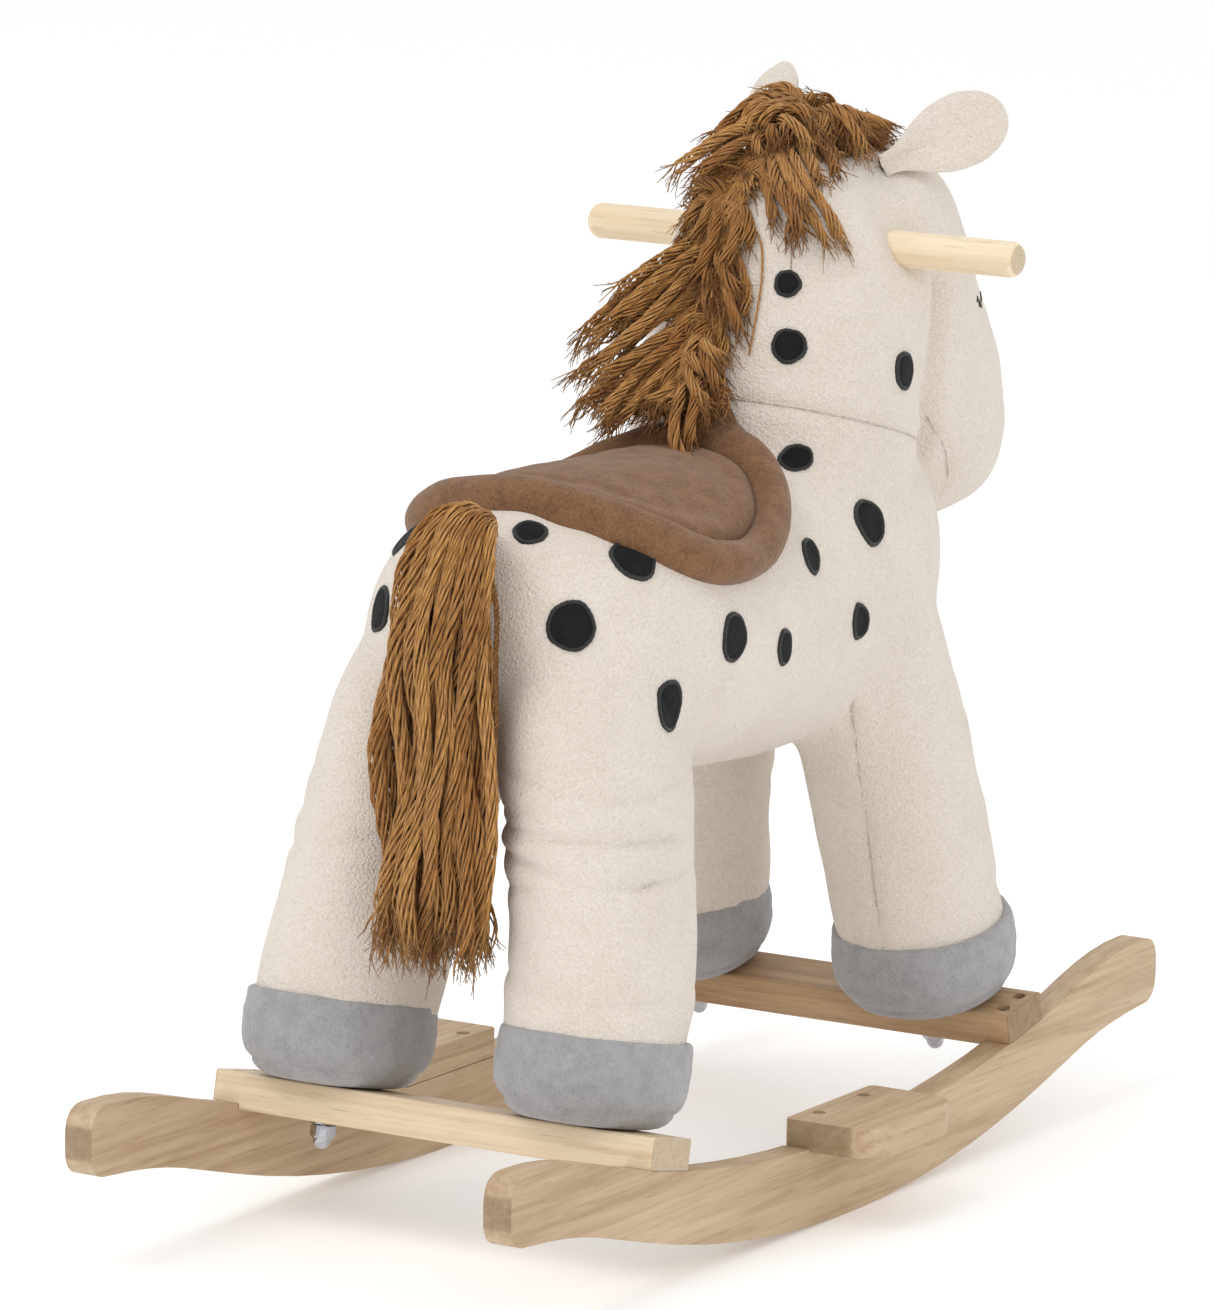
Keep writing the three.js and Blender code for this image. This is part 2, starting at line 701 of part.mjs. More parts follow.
// One ring of saddle points, at a share of the way from the middle to the outline.
function saddleRing(share, lift) {
  const segments = ringPoints.saddle;
  const bulge = (c) => sign(c) * abs(c) ** saddle.squareness;
  return Array.from({ length: segments }, (_, k) => {
    const t = (-2 * PI * k) / segments;
    return onTrunk(
      saddle.middle - share * saddle.halfLength * bulge(sin(t)),
      share * saddle.halfArc * bulge(cos(t)) * (1 - saddle.taper * sin(t)),
      lift,
    );
  });
}
const sunk = -3; // the saddle's underside starts below the trunk's skin and is cut by it
const groove = 1 / saddle.halfLength; // between pad and rim
const padShare = 1 - saddle.rim / saddle.halfLength - groove;
function padSolid() {
  const { padHeight } = saddle;
  const centre = (lift) => [onTrunk(saddle.middle, 0, lift)];
  return skin([
    centre(sunk),
    saddleRing(padShare * 0.5, sunk),
    saddleRing(padShare, sunk),
    saddleRing(padShare, padHeight * 0.55),
    saddleRing(padShare * 0.85, padHeight * 0.9),
    saddleRing(padShare * 0.5, padHeight),
    centre(padHeight),
  ]);
}
function rimSolid() {
  const inner = padShare + groove;
  const h = saddle.rimHeight;
  // The rim's section: [share of the way across it, height].
  const section = [[0, sunk], [1, sunk], [1, h * 0.55], [0.75, h], [0.25, h], [0, h * 0.55]];
  return closedSkin(section.map(([t, lift]) => saddleRing(inner + (1 - inner) * t, lift)));
}
const onBack = () => [trunkSolid(GAP), neckSolid(GAP)];
add("saddle_pad", cut(padSolid(), ...onBack()), suede);
add("saddle_rim", cut(rimSolid(), ...onBack()), suede);

// ---------------------------------------------------------------- mane and tail
// Bundles of yarn, as plain solids along a path: [place, height, half width, half depth].
const maneStations = [
  [7, 260, 18, 12],
  [33, 273, 34, 24],
  [69, 281, 40, 28],
  [106, 267, 42, 28],
  [139, 231, 45, 26],
  [161, 187, 54, 25],
  [183, 147, 62, 24],
  [199, 123, 56, 16],
];
add(
  "mane",
  cut(
    pathSolid(maneStations, chestEnd, 0, squareness.yarn, ringPoints.yarn, mane.side),
    ...onBack(),
    headSolid(GAP),
    rimSolid(),
    earSolid(-1, earReach.right, GAP),
    earSolid(1, earReach.left, GAP),
  ),
  yarn,
);

const tailStations = [
  [-11, 91, 14, 9],
  [1, 90, 22, 13],
  [15, 73, 30, 17],
  [23, 43, 36, 20],
  [26, -17, 39, 22],
  [27, -97, 40, 23],
  [28, -167, 38, 22],
];
add(
  "tail",
  cut(
    pathSolid(tailStations, rumpEnd, 0, squareness.yarn, ringPoints.yarn, tail.side),
    trunkSolid(tail.clearance),
  ),
  yarn,
);

export default horse;
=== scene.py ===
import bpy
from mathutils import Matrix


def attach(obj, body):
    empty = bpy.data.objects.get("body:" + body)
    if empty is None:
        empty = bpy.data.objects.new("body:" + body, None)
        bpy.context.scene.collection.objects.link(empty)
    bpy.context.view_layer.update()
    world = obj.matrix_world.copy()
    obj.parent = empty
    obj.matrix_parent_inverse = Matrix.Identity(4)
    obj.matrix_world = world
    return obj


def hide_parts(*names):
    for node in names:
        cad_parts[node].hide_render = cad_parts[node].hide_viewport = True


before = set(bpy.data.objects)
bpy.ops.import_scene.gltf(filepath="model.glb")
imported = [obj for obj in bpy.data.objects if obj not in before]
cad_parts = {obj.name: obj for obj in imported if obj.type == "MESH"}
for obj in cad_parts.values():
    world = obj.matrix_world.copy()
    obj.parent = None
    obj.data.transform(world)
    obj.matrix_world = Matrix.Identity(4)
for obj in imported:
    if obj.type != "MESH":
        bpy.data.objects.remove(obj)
"""Plush rocking horse: the looks of every piece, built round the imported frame.

The horse faces -Y, its left side is +X, the floor is z = 0, and lengths are in metres.
"""
import logging
from dataclasses import dataclass
from enum import Enum
from typing import Iterable, Sequence

import bpy
import numpy as np
from mathutils import Matrix, Vector
from mathutils.bvhtree import BVHTree

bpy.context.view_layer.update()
LOG = logging.getLogger("rocking_horse")
MM = 0.001
TAU = 2.0 * np.pi
Array = np.ndarray
Surface = tuple[Array, Array, Array, Array]  # places, quads, triangles and corner UVs
Colour = tuple[float, float, float]
X_AXIS = np.array([1.0, 0.0, 0.0])
Y_AXIS = np.array([0.0, 1.0, 0.0])
Z_AXIS = np.array([0.0, 0.0, 1.0])
GOLDEN_TURN = 2.39996  # the angle that spreads places evenly over a disc


class Side(Enum):
    """A side of the horse, as the sign of X."""

    RIGHT = -1.0
    LEFT = 1.0


class End(Enum):
    """An end of the base, as the sign of Y."""

    FRONT = -1.0
    REAR = 1.0


# ------------------------------------------------------------------ curves and grids


def smooth_curve(knots: Sequence[float], values: Array, at: Array) -> Array:
    """Carries a smooth line through values given at knots, with no overshoot.

    Each stretch is a cubic whose end slopes are the harmonic mean of the slopes beside the knot,
    and are nought where those differ in sign.

    Args:
        knots: rising parameters, one for each row of values.
        values: a row of numbers for each knot.
        at: the parameters to read.

    Returns:
        A row of numbers for each entry of at.
    """
    x = np.asarray(knots, float)
    y = np.asarray(values, float)
    y = y[:, None] if y.ndim == 1 else y
    step = np.diff(x)[:, None]
    slope = np.diff(y, axis=0) / step
    before, after = slope[:-1], slope[1:]
    same = before * after > 0
    total = np.where(same, before + after, 1.0)
    inner = np.where(same, 2 * before * after / total, 0.0)
    tangent = np.vstack([slope[:1], inner, slope[-1:]])
    q = np.clip(np.asarray(at, float).ravel(), x[0], x[-1])
    i = np.clip(np.searchsorted(x, q, side="right") - 1, 0, len(x) - 2)
    t = ((q - x[i]) / step[i, 0])[:, None]
    h = step[i]
    rise = (1 + 2 * t) * (1 - t) ** 2 * y[i] + t * t * (3 - 2 * t) * y[i + 1]
    bend = t * (1 - t) ** 2 * h * tangent[i] + t * t * (t - 1) * h * tangent[i + 1]
    return rise + bend


def bulge(angle: Array, power: float) -> Array:
    """Cosine of an angle, drawn out towards a square: sign(cos) times |cos| to 2 / power."""
    c = np.cos(angle)
    return np.sign(c) * np.abs(c) ** (2.0 / power)


def unit(v: Array) -> Array:
    """The vectors along the last axis, each made one long."""
    return v / np.maximum(np.linalg.norm(v, axis=-1, keepdims=True), 1e-12)


def bell(distance: Array, width: float) -> Array:
    """A bell curve: e to minus the square of distance over width."""
    return np.exp(-((distance / width) ** 2))


def smoothstep(low: float, high: float, x: Array) -> Array:
    """A soft step from 0 at low to 1 at high."""
    t = np.clip((x - low) / (high - low), 0.0, 1.0)
    return t * t * (3 - 2 * t)


def ripple(points: Array, scale: float, seed: int, waves: int = 9) -> Array:
    """Soft noise in space: a mean of sine waves in seeded directions.

    Args:
        points: places, with x, y and z along the last axis.
        scale: about the length of one wave.
        seed: which set of directions and phases.
        waves: how many waves are added.

    Returns:
        One value from about -1 to 1 for each place.
    """
    rng = np.random.default_rng(seed)
    ways = unit(rng.normal(size=(waves, 3))) * (TAU / scale) * rng.uniform(0.6, 1.5, (waves, 1))
    phases = rng.uniform(0, TAU, waves)
    return np.sin(points @ ways.T + phases).mean(axis=-1) * np.sqrt(waves) * 0.7


def build_mesh(name: str, verts: Array, quads: Array, tris: Array | None = None,
               uv: Array | None = None, smooth: bool = True) -> bpy.types.Object:
    """Puts whole arrays into a new mesh object at the origin.

    Args:
        name: the object's name.
        verts: places, n by 3.
        quads: vertex numbers, q by 4.
        tris: vertex numbers, t by 3, or None.
        uv: one pair for each face corner, the quads' corners first, or None.
        smooth: whether the faces are shaded smooth.

    Returns:
        The new object, linked to the scene.
    """
    tris = np.zeros((0, 3), int) if tris is None else tris
    corners = np.concatenate([np.asarray(quads).ravel(), np.asarray(tris).ravel()])
    totals = np.concatenate([np.full(len(quads), 4), np.full(len(tris), 3)])
    mesh = bpy.data.meshes.new(name)
    mesh.vertices.add(len(verts))
    mesh.vertices.foreach_set("co", np.asarray(verts, np.float32).ravel())
    mesh.loops.add(len(corners))
    mesh.loops.foreach_set("vertex_index", corners.astype(np.int32))
    mesh.polygons.add(len(totals))
    mesh.polygons.foreach_set("loop_start", (np.cumsum(totals) - totals).astype(np.int32))
    mesh.polygons.foreach_set("loop_total", totals.astype(np.int32))
    mesh.update(calc_edges=True)
    mesh.validate()
    if uv is not None:
        mesh.uv_layers.new(name="UVMap").data.foreach_set("uv", np.asarray(uv, np.float32).ravel())
    mesh.polygons.foreach_set("use_smooth", np.full(len(mesh.polygons), smooth))
    obj = bpy.data.objects.new(name, mesh)
    bpy.context.scene.collection.objects.link(obj)
    return obj


def grid_arrays(points: Array, wrap_rows: bool = False) -> Surface:
    """Faces for a grid of places whose columns go right round.

    Row i of the grid is a closed ring. Faces join ring i to ring i + 1, and the last ring to the
    first where the rows wrap. Otherwise each end is closed by a fan round the ring's mean.

    Args:
        points: rows by columns by 3. Rings turn anticlockwise seen from the far rows.
        wrap_rows: whether the last ring joins the first.

    Returns:
        The places, the quads, the triangles and the UV of each corner.
    """
    rows, cols = points.shape[:2]
    verts = points.reshape(-1, 3)
    last = rows if wrap_rows else rows - 1
    i, j = np.meshgrid(np.arange(last), np.arange(cols), indexing="ij")
    i, j = i.ravel(), j.ravel()
    i2, j2 = (i + 1) % rows, (j + 1) % cols
    quads = np.stack([i * cols + j, i * cols + j2, i2 * cols + j2, i2 * cols + j], axis=1)
    u = np.stack([j, j + 1, j + 1, j], axis=1) / cols
    v = np.stack([i, i, i + 1, i + 1], axis=1) / max(last, 1)
    uv = np.stack([u, v], axis=-1).reshape(-1, 2)
    tris = np.zeros((0, 3), int)
    if not wrap_rows:
        ring = np.arange(cols)
        after = (ring + 1) % cols
        low, high = len(verts), len(verts) + 1
        verts = np.vstack([verts, points[0].mean(axis=0), points[-1].mean(axis=0)])
        foot = np.stack([np.full(cols, low), after, ring], axis=1)
        top_row = (rows - 1) * cols
        head = np.stack([np.full(cols, high), top_row + ring, top_row + after], axis=1)
        tris = np.vstack([foot, head])
        tip = np.stack([np.stack([(ring + 0.5) / cols, np.zeros(cols)], 1)] * 3, 1).reshape(-1, 2)
        uv = np.vstack([uv, tip, tip + [0.0, 1.0]])
    return verts, quads, tris, uv


def grid_object(name: str, points: Array, wrap_rows: bool = False) -> bpy.types.Object:
    """A closed surface through a grid of rings, as an object."""
    verts, quads, tris, uv = grid_arrays(points, wrap_rows)
    return build_mesh(name, verts, quads, tris, uv)


def mesh_points(obj: bpy.types.Object) -> Array:
    """The places of an object's vertices, n by 3."""
    flat = np.empty(len(obj.data.vertices) * 3, np.float32)
    obj.data.vertices.foreach_get("co", flat)
    return flat.reshape(-1, 3).astype(float)


def mesh_normals(obj: bpy.types.Object) -> Array:
    """The normals of an object's vertices, n by 3."""
    flat = np.empty(len(obj.data.vertices) * 3, np.float32)
    obj.data.vertex_normals.foreach_get("vector", flat)
    return flat.reshape(-1, 3).astype(float)


def set_points(obj: bpy.types.Object, points: Array) -> None:
    """Moves an object's vertices to new places."""
    obj.data.vertices.foreach_set("co", np.asarray(points, np.float32).ravel())
    obj.data.update()


def bake_modifiers(obj: bpy.types.Object) -> None:
    """Replaces an object's mesh by what its modifiers make of it, and clears them."""
    graph = bpy.context.evaluated_depsgraph_get()
    made = bpy.data.meshes.new_from_object(obj.evaluated_get(graph))
    obj.modifiers.clear()
    old, obj.data = obj.data, made
    made.name = obj.name
    bpy.data.meshes.remove(old)
    made.polygons.foreach_set("use_smooth", np.full(len(made.polygons), True))


def remesh(obj: bpy.types.Object, voxel: float, smoothing: int) -> None:
    """Makes one even skin of an object's overlapping shells, and eases its creases.

    Args:
        obj: the object, changed in place.
        voxel: the size of the new faces.
        smoothing: how many times each vertex moves half way to its neighbours' mean.
    """
    made = obj.modifiers.new("skin", "REMESH")
    made.mode = "VOXEL"
    made.voxel_size = voxel
    ease = obj.modifiers.new("ease", "SMOOTH")
    ease.factor = 0.5
    ease.iterations = smoothing
    bake_modifiers(obj)


def subdivide(obj: bpy.types.Object) -> None:
    """Splits every face in four on a smooth surface."""
    made = obj.modifiers.new("finer", "SUBSURF")
    made.levels = 1
    made.render_levels = 1
    bake_modifiers(obj)


def puff(obj: bpy.types.Object, pressure: float, most: float, frames: int = 20) -> None:
    """Fills a closed cloth skin with air, as stuffing does, and keeps its new shape.

    Args:
        obj: the object, changed in place.
        pressure: of the filling.
        most: the furthest that a vertex may move.
        frames: how many steps the cloth is given.
    """
    start = mesh_points(obj)
    made = obj.modifiers.new("stuffing", "CLOTH")
    made.settings.use_pressure = True
    made.settings.uniform_pressure_force = pressure
    made.settings.quality = 4
    made.settings.tension_stiffness = 25.0
    made.settings.compression_stiffness = 25.0
    made.settings.bending_stiffness = 1.2
    made.settings.effector_weights.gravity = 0.0
    made.collision_settings.use_collision = False
    made.point_cache.frame_start = 1
    made.point_cache.frame_end = frames
    scene = bpy.context.scene
    for number in range(1, frames + 1):
        scene.frame_set(number)
    bake_modifiers(obj)
    scene.frame_set(1)
    move = mesh_points(obj) - start
    size = np.linalg.norm(move, axis=1, keepdims=True)
    set_points(obj, start + move * np.minimum(1.0, most / np.maximum(size, 1e-9)))


def tree_of(obj: bpy.types.Object) -> BVHTree:
    """A search tree over an object's faces."""
    faces = [tuple(p.vertices) for p in obj.data.polygons]
    return BVHTree.FromPolygons([tuple(v.co) for v in obj.data.vertices], faces)


def settle_on(tree: BVHTree, points: Array, inward: Array, lift: Array) -> Array:
    """Drops places on a skin along given directions, then lifts them off it.

    Args:
        tree: the skin.
        points: places outside the skin, n by 3.
        inward: directions to look in, n by 3.
        lift: how far each place ends above the skin.

    Returns:
        The new places. One whose ray misses goes to the nearest face.
    """
    out = np.array(points, float)
    for k, (p, d) in enumerate(zip(points, inward)):
        where, normal, _, _ = tree.ray_cast(Vector(p), Vector(d))
        if where is None:
            where, normal, _, _ = tree.find_nearest(Vector(p))
        out[k] = np.array(where) + np.array(normal) * lift[k]
    return out


def keep_outside(tree: BVHTree, points: Array, gap: float) -> Array:
    """Pushes places that are inside a skin, or nearer to it than gap, out to that gap."""
    out = np.array(points, float)
    for k, p in enumerate(points):
        where, normal, _, far = tree.find_nearest(Vector(p))
        side = (Vector(p) - where).dot(normal)
        if side < 0 or far < gap:
            out[k] = np.array(where) + np.array(normal) * gap
    return out


def join_arrays(parts: Iterable[Surface]) -> Surface:
    """Puts the places, quads, triangles and UVs of several surfaces in one set."""
    parts = list(parts)
    starts = np.cumsum([0] + [len(p[0]) for p in parts[:-1]])
    verts = np.vstack([p[0] for p in parts])
    quads = np.vstack([p[1] + s for p, s in zip(parts, starts)])
    tris = np.vstack([p[2] + s for p, s in zip(parts, starts)])
    quad_uv = [p[3][: 4 * len(p[1])] for p in parts]
    tri_uv = [p[3][4 * len(p[1]):] for p in parts]
    return verts, quads, tris, np.vstack(quad_uv + tri_uv)


def sweep(centres: Array, across: Array, upward: Array, wide: Array, deep: Array,
          sides: int, power: float = 2.0) -> Array:
    """Rings carried along a path: centre + across a bulge(angle) + upward b bulge(angle - 90).

    Args:
        centres: the path, n by 3.
        across: the direction of each ring's width, with upward = heading x across.
        upward: the direction of each ring's depth.
        wide: half the width of each ring.
        deep: half the depth of each ring.
        sides: how many places each ring has.
        power: 2 for an ellipse, more for a squarer ring.

    Returns:
        Places, n by sides by 3.
    """
    angle = np.arange(sides) / sides * TAU
    c = bulge(angle, power)[None, :, None]
    s = bulge(angle - np.pi / 2, power)[None, :, None]
    a = np.broadcast_to(wide, len(centres))[:, None, None]
    b = np.broadcast_to(deep, len(centres))[:, None, None]
    across = np.broadcast_to(across, centres.shape)[:, None, :]
    upward = np.broadcast_to(upward, centres.shape)[:, None, :]
    return centres[:, None, :] + across * a * c + upward * b * s


def place(points: Array, matrix: Matrix) -> Array:
    """Places turned and moved by a matrix."""
    m = np.array(matrix)
    return points @ m[:3, :3].T + m[:3, 3]


# ------------------------------------------------------------------ shader maths


class Number:
    """A number that a shader works out, with the arithmetic of Python."""

    def __init__(self, paint: "Paint", socket: bpy.types.NodeSocket) -> None:
        """Wraps one output socket of a material."""
        self.paint = paint
        self.socket = socket

    def _join(self, kind: str, *values: "Number | float") -> "Number":
        """A Math node of that kind fed by these values."""
        made = self.paint.node("ShaderNodeMath", {"operation": kind}, dict(enumerate(values)))
        return Number(self.paint, made.outputs[0])

    def __add__(self, other: "Number | float") -> "Number":
        """The sum."""
        return self._join("ADD", self, other)

    __radd__ = __add__

    def __mul__(self, other: "Number | float") -> "Number":
        """The product."""
        return self._join("MULTIPLY", self, other)

    __rmul__ = __mul__

    def __sub__(self, other: "Number | float") -> "Number":
        """The difference."""
        return self._join("SUBTRACT", self, other)

    def __rsub__(self, other: "Number | float") -> "Number":
        """The difference, taken the other way."""
        return self._join("SUBTRACT", other, self)

    def __pow__(self, other: float) -> "Number":
        """The power."""
        return self._join("POWER", self, other)

    def sine(self) -> "Number":
        """The sine of an angle in radians."""
        return self._join("SINE", self)

    def size(self) -> "Number":
        """The value without its sign."""
        return self._join("ABSOLUTE", self)

    def step(self, low: float, high: float) -> "Number":
        """A soft step from 0 at low to 1 at high."""
        made = self.paint.node("ShaderNodeMapRange", {"interpolation_type": "SMOOTHSTEP"},
                               {0: self, 1: low, 2: high, 3: 0.0, 4: 1.0})
        return Number(self.paint, made.outputs[0])


class Paint:
    """One material under construction: a Principled shader and the nodes that feed it."""

    def __init__(self, name: str) -> None:
        """Starts a material with nothing but a shader and an output."""
        self.material = bpy.data.materials.new(name)
        self.material.use_nodes = True
        self.tree = self.material.node_tree
        self.tree.nodes.clear()
        self.shader = self.tree.nodes.new("ShaderNodeBsdfPrincipled")
        out = self.tree.nodes.new("ShaderNodeOutputMaterial")
        self.tree.links.new(self.shader.outputs[0], out.inputs["Surface"])
        where = self.node("ShaderNodeTexCoord", {}, {})
        self.place = where.outputs["Object"]
        self.uv = where.outputs["UV"]

    def feed(self, socket: bpy.types.NodeSocket, value: object) -> None:
        """Links a socket to a value that the shader works out, or sets it to a constant."""
        if isinstance(value, Number):
            value = value.socket
        if isinstance(value, bpy.types.NodeSocket):
            self.tree.links.new(value, socket)
            return
        if isinstance(value, tuple) and len(value) == 3 and socket.type == "RGBA":
            value = (*value, 1.0)
        socket.default_value = value

    def node(self, kind: str, settings: dict[str, object],
             sockets: dict[int | str, object]) -> bpy.types.Node:
        """Adds any node.

        Args:
            kind: the node's type.
            settings: the node's own choices, set first.
            sockets: a value or link for each input, by number or name.

        Returns:
            The node.
        """
        made = self.tree.nodes.new(kind)
        for name, value in settings.items():
            setattr(made, name, value)
        for key, value in sockets.items():
            self.feed(made.inputs[key], value)
        return made

    def stretched(self, scale: Colour) -> bpy.types.NodeSocket:
        """Object coordinates times a scale along each axis."""
        made = self.node("ShaderNodeMapping", {}, {"Vector": self.place, "Scale": scale})
        return made.outputs[0]

    def noise(self, scale: float, detail: float = 2.0, where: object = None,
              rough: float = 0.5) -> Number:
        """Noise from 0 to 1, with waves of about 1 / scale."""
        made = self.node("ShaderNodeTexNoise", {}, {
            "Vector": where or self.place, "Scale": scale, "Detail": detail, "Roughness": rough})
        return Number(self, made.outputs[0])

    def cells(self, scale: float, where: object = None) -> Number:
        """Distance to the nearest of scattered points, for grain such as pile or nap."""
        made = self.node("ShaderNodeTexVoronoi", {}, {"Vector": where or self.place, "Scale": scale})
        return Number(self, made.outputs[0])

    def attribute(self, name: str) -> Number:
        """A number stored on the piece's vertices."""
        made = self.node("ShaderNodeAttribute", {"attribute_name": name}, {})
        return Number(self, made.outputs["Fac"])

    def axis(self, vector: bpy.types.NodeSocket, which: int) -> Number:
        """One of a vector's three numbers."""
        return Number(self, self.node("ShaderNodeSeparateXYZ", {}, {0: vector}).outputs[which])

    def mix(self, share: Number | float, low: object, high: object) -> bpy.types.NodeSocket:
        """A colour between low and high."""
        made = self.node("ShaderNodeMix", {"data_type": "RGBA"}, {0: share, 6: low, 7: high})
        return made.outputs[2]

    def bump(self, height: Number, depth: float, strength: float = 1.0,
             under: object = None) -> bpy.types.NodeSocket:
        """A normal tilted by a height from 0 to 1 that stands for depth metres."""
        sockets = {"Strength": strength, "Distance": depth, "Height": height}
        if under is not None:
            sockets["Normal"] = under
        return self.node("ShaderNodeBump", {}, sockets).outputs[0]

    def finish(self, colour: object, rough: object, normal: object = None,
               **constants: object) -> bpy.types.Material:
        """Feeds the shader and returns the material. Constants are named with _ for a space."""
        self.feed(self.shader.inputs["Base Color"], colour)
        self.feed(self.shader.inputs["Roughness"], rough)
        if normal is not None:
            self.feed(self.shader.inputs["Normal"], normal)
        for name, value in constants.items():
            self.feed(self.shader.inputs[name.replace("_", " ")], value)
        return self.material


def tint(red: int, green: int, blue: int) -> Colour:
    """A colour given in the usual 0 to 255, as the shader's own linear values."""
    share = np.array([red, green, blue]) / 255.0
    linear = np.where(share <= 0.04045, share / 12.92, ((share + 0.055) / 1.055) ** 2.4)
    return tuple(float(v) for v in linear)


class Grain(Enum):
    """The way that wood fibres run."""

    ALONG_X = 0
    ALONG_Y = 1
    ALONG_Z = 2


@dataclass(frozen=True)
class Wood:
    """Sanded, clear-finished timber with growth lines, streaks, pores and darker ends."""

    name: str
    light: Colour
    dark: Colour
    grain: Grain
    reach: float = 9.0
    lines: float = 260.0
    shift: float = 0.0

    def paint(self) -> bpy.types.Material:
        """Growth lines are a sine of stretched noise; pores are thin dashes along the fibres.

        The sawn ends, past reach along the grain, are darker and mottled.
        """
        p = Paint(self.name)
        along = [1.0, 1.0, 1.0]
        along[self.grain.value] = 0.045
        fibres = p.stretched(tuple(along))
        wave = p.noise(14.0, 1.0, fibres) + self.shift
        rings = (wave * self.lines * 0.35).sine() * 0.5 + 0.5
        streak = p.noise(170.0, 4.0, fibres, 0.65)
        fine = p.noise(800.0, 2.0, fibres)
        patch = p.noise(7.0, 2.0)
        pores = fine.step(0.60, 0.72)
        tone = rings ** 2.5 * 0.2 + streak.step(0.34, 0.68) * 0.5 + patch.step(0.35, 0.7) * 0.2
        wood = p.mix(tone, self.light, self.dark)
        deep = tuple(c * 0.45 for c in self.dark)
        wood = p.mix(pores * 0.28, wood, deep)
        end = p.axis(p.place, self.grain.value).size().step(self.reach - 0.0012, self.reach - 0.0002)
        wood = p.mix(end * (0.3 + 0.4 * p.noise(700.0, 2.0)), wood, deep)
        height = streak * 0.5 + fine * 0.35 - pores * 0.4
        rough = 0.44 + streak * 0.16
        return p.finish(wood, rough, p.bump(height, 0.0003, 0.6), IOR=1.45)


@dataclass(frozen=True)
class Pile:
    """A short soft pile such as fleece, velour or suede, with grain, brushed patches and seams; its
    colour carries painted shade between the tufts and along the seams.
    """

    name: str
    colour: Colour
    shade: Colour
    grain: float
    depth: float
    patches: float
    brushed: float
    tuft_shade: float = 0.35
    rough: float = 0.92
    sheen: float = 0.35
    seams: bool = False

    def paint(self) -> bpy.types.Material:
        """Base colour darkened by painted shade between the tufts and along the seams, and in brushed
        patches.
        """
        p = Paint(self.name)
        tufts = p.cells(self.grain)
        curl = p.noise(self.grain * 0.8, 3.0, rough=0.6)
        fuzz = p.noise(self.grain * 2.3, 2.0)
        patch = p.noise(self.patches, 3.0, rough=0.6)
        # painted shade: the colour darkens towards shade in the pile's low hollows between the tufts
        between = tufts.step(0.25, 0.75) * 0.5 + curl.step(0.62, 0.35) * 0.5
        share = between * self.tuft_shade + patch.step(0.36, 0.68) * self.brushed
        cloth = p.mix(share, self.colour, self.shade)
        height = curl * 0.6 + fuzz * 0.25 - tufts * 0.35
        normal = p.bump(height, self.depth, 0.75)
        if self.seams:
            # painted shade: the colour darkens in the seam's groove and over the pucker on either side
            # of it
            near = p.attribute("seam_far").step(3.4, 2.4)
            line = p.attribute("seam").size().step(1.0, 0.15) * near
            seam_valley_shade = p.attribute("seam_far").step(7.0, 0.0)
            deep = tuple(c * 0.5 for c in self.shade)
            cloth = p.mix(seam_valley_shade * 0.12, cloth, self.shade)
            cloth = p.mix(line * 0.3, cloth, deep)
            normal = p.bump(1.0 - line, 0.001, 0.7, normal)
        return p.finish(cloth, self.rough, normal, Sheen_Weight=self.sheen, Sheen_Roughness=0.45,
                        Specular_IOR_Level=0.25)


@dataclass(frozen=True)
class Yarn:
    """Loose cotton yarn: plies that wind round each strand, each strand in its own tone."""

    name: str
    light: Colour
    middle: Colour
    dark: Colour
    plies: float = 2.0

    def paint(self) -> bpy.types.Material:
        """Stripes are a sine of turns round the strand plus its length, darkened between the plies as
        painted shade; tone comes with the strand.
        """
        p = Paint(self.name)
        u, v = p.axis(p.uv, 0), p.axis(p.uv, 1)
        turns = ((u * self.plies + v) * float(TAU)).sine() * 0.5 + 0.5
        fibre = p.noise(900.0, 2.0)
        tone = p.attribute("tone") + (p.noise(60.0, 2.0) - 0.5) * 0.35
        colour = p.mix(tone.step(0.05, 0.95), self.middle, self.light)
        # painted shade: the colour is darker towards dark in the grooves between the plies
        colour = p.mix((1.0 - turns) * 0.5, colour, self.dark)
        colour = p.mix(fibre.step(0.4, 0.8) * 0.18, colour, self.light)
        normal = p.bump(turns * 0.7 + fibre * 0.5, 0.0006, 0.9)
        return p.finish(colour, 0.82, normal, Sheen_Weight=0.12, Specular_IOR_Level=0.25)


@dataclass(frozen=True)
class Stitch:
    """Satin stitching: threads laid side by side across a raised line."""

    name: str
    colour: Colour
    glint: Colour

    def paint(self) -> bpy.types.Material:
        """Threads are a sine of the UV's length; the tops of the threads are lighter, a painted
        highlight.
        """
        p = Paint(self.name)
        wobble = p.noise(900.0, 2.0)
        thread = ((p.axis(p.uv, 0) + wobble * 0.35) * float(TAU)).sine() * 0.5 + 0.5
        # painted highlight: the tops of the threads mix towards glint
        colour = p.mix(thread ** 2.0 * 0.6, self.colour, self.glint)
        return p.finish(colour, 0.45 + 0.2 * wobble, p.bump(thread, 0.0004, 0.9), Sheen_Weight=0.1)


@dataclass(frozen=True)
class Metal:
    """Plated or zinc-coated steel with faint marks."""

    name: str
    colour: Colour
    rough: float

    def paint(self) -> bpy.types.Material:
        """Fine marks and cloudy patches vary the polish."""
        p = Paint(self.name)
        cloud = p.noise(180.0, 2.0)
        marks = p.noise(1500.0, 3.0, p.stretched((1.0, 1.0, 0.2)))
        dull = tuple(c * 0.7 for c in self.colour)
        colour = p.mix(cloud.step(0.4, 0.75) * 0.6, self.colour, dull)
        rough = self.rough + 0.14 * marks * cloud
        return p.finish(colour, rough, p.bump(marks, 0.00005, 0.3), Metallic=1.0)


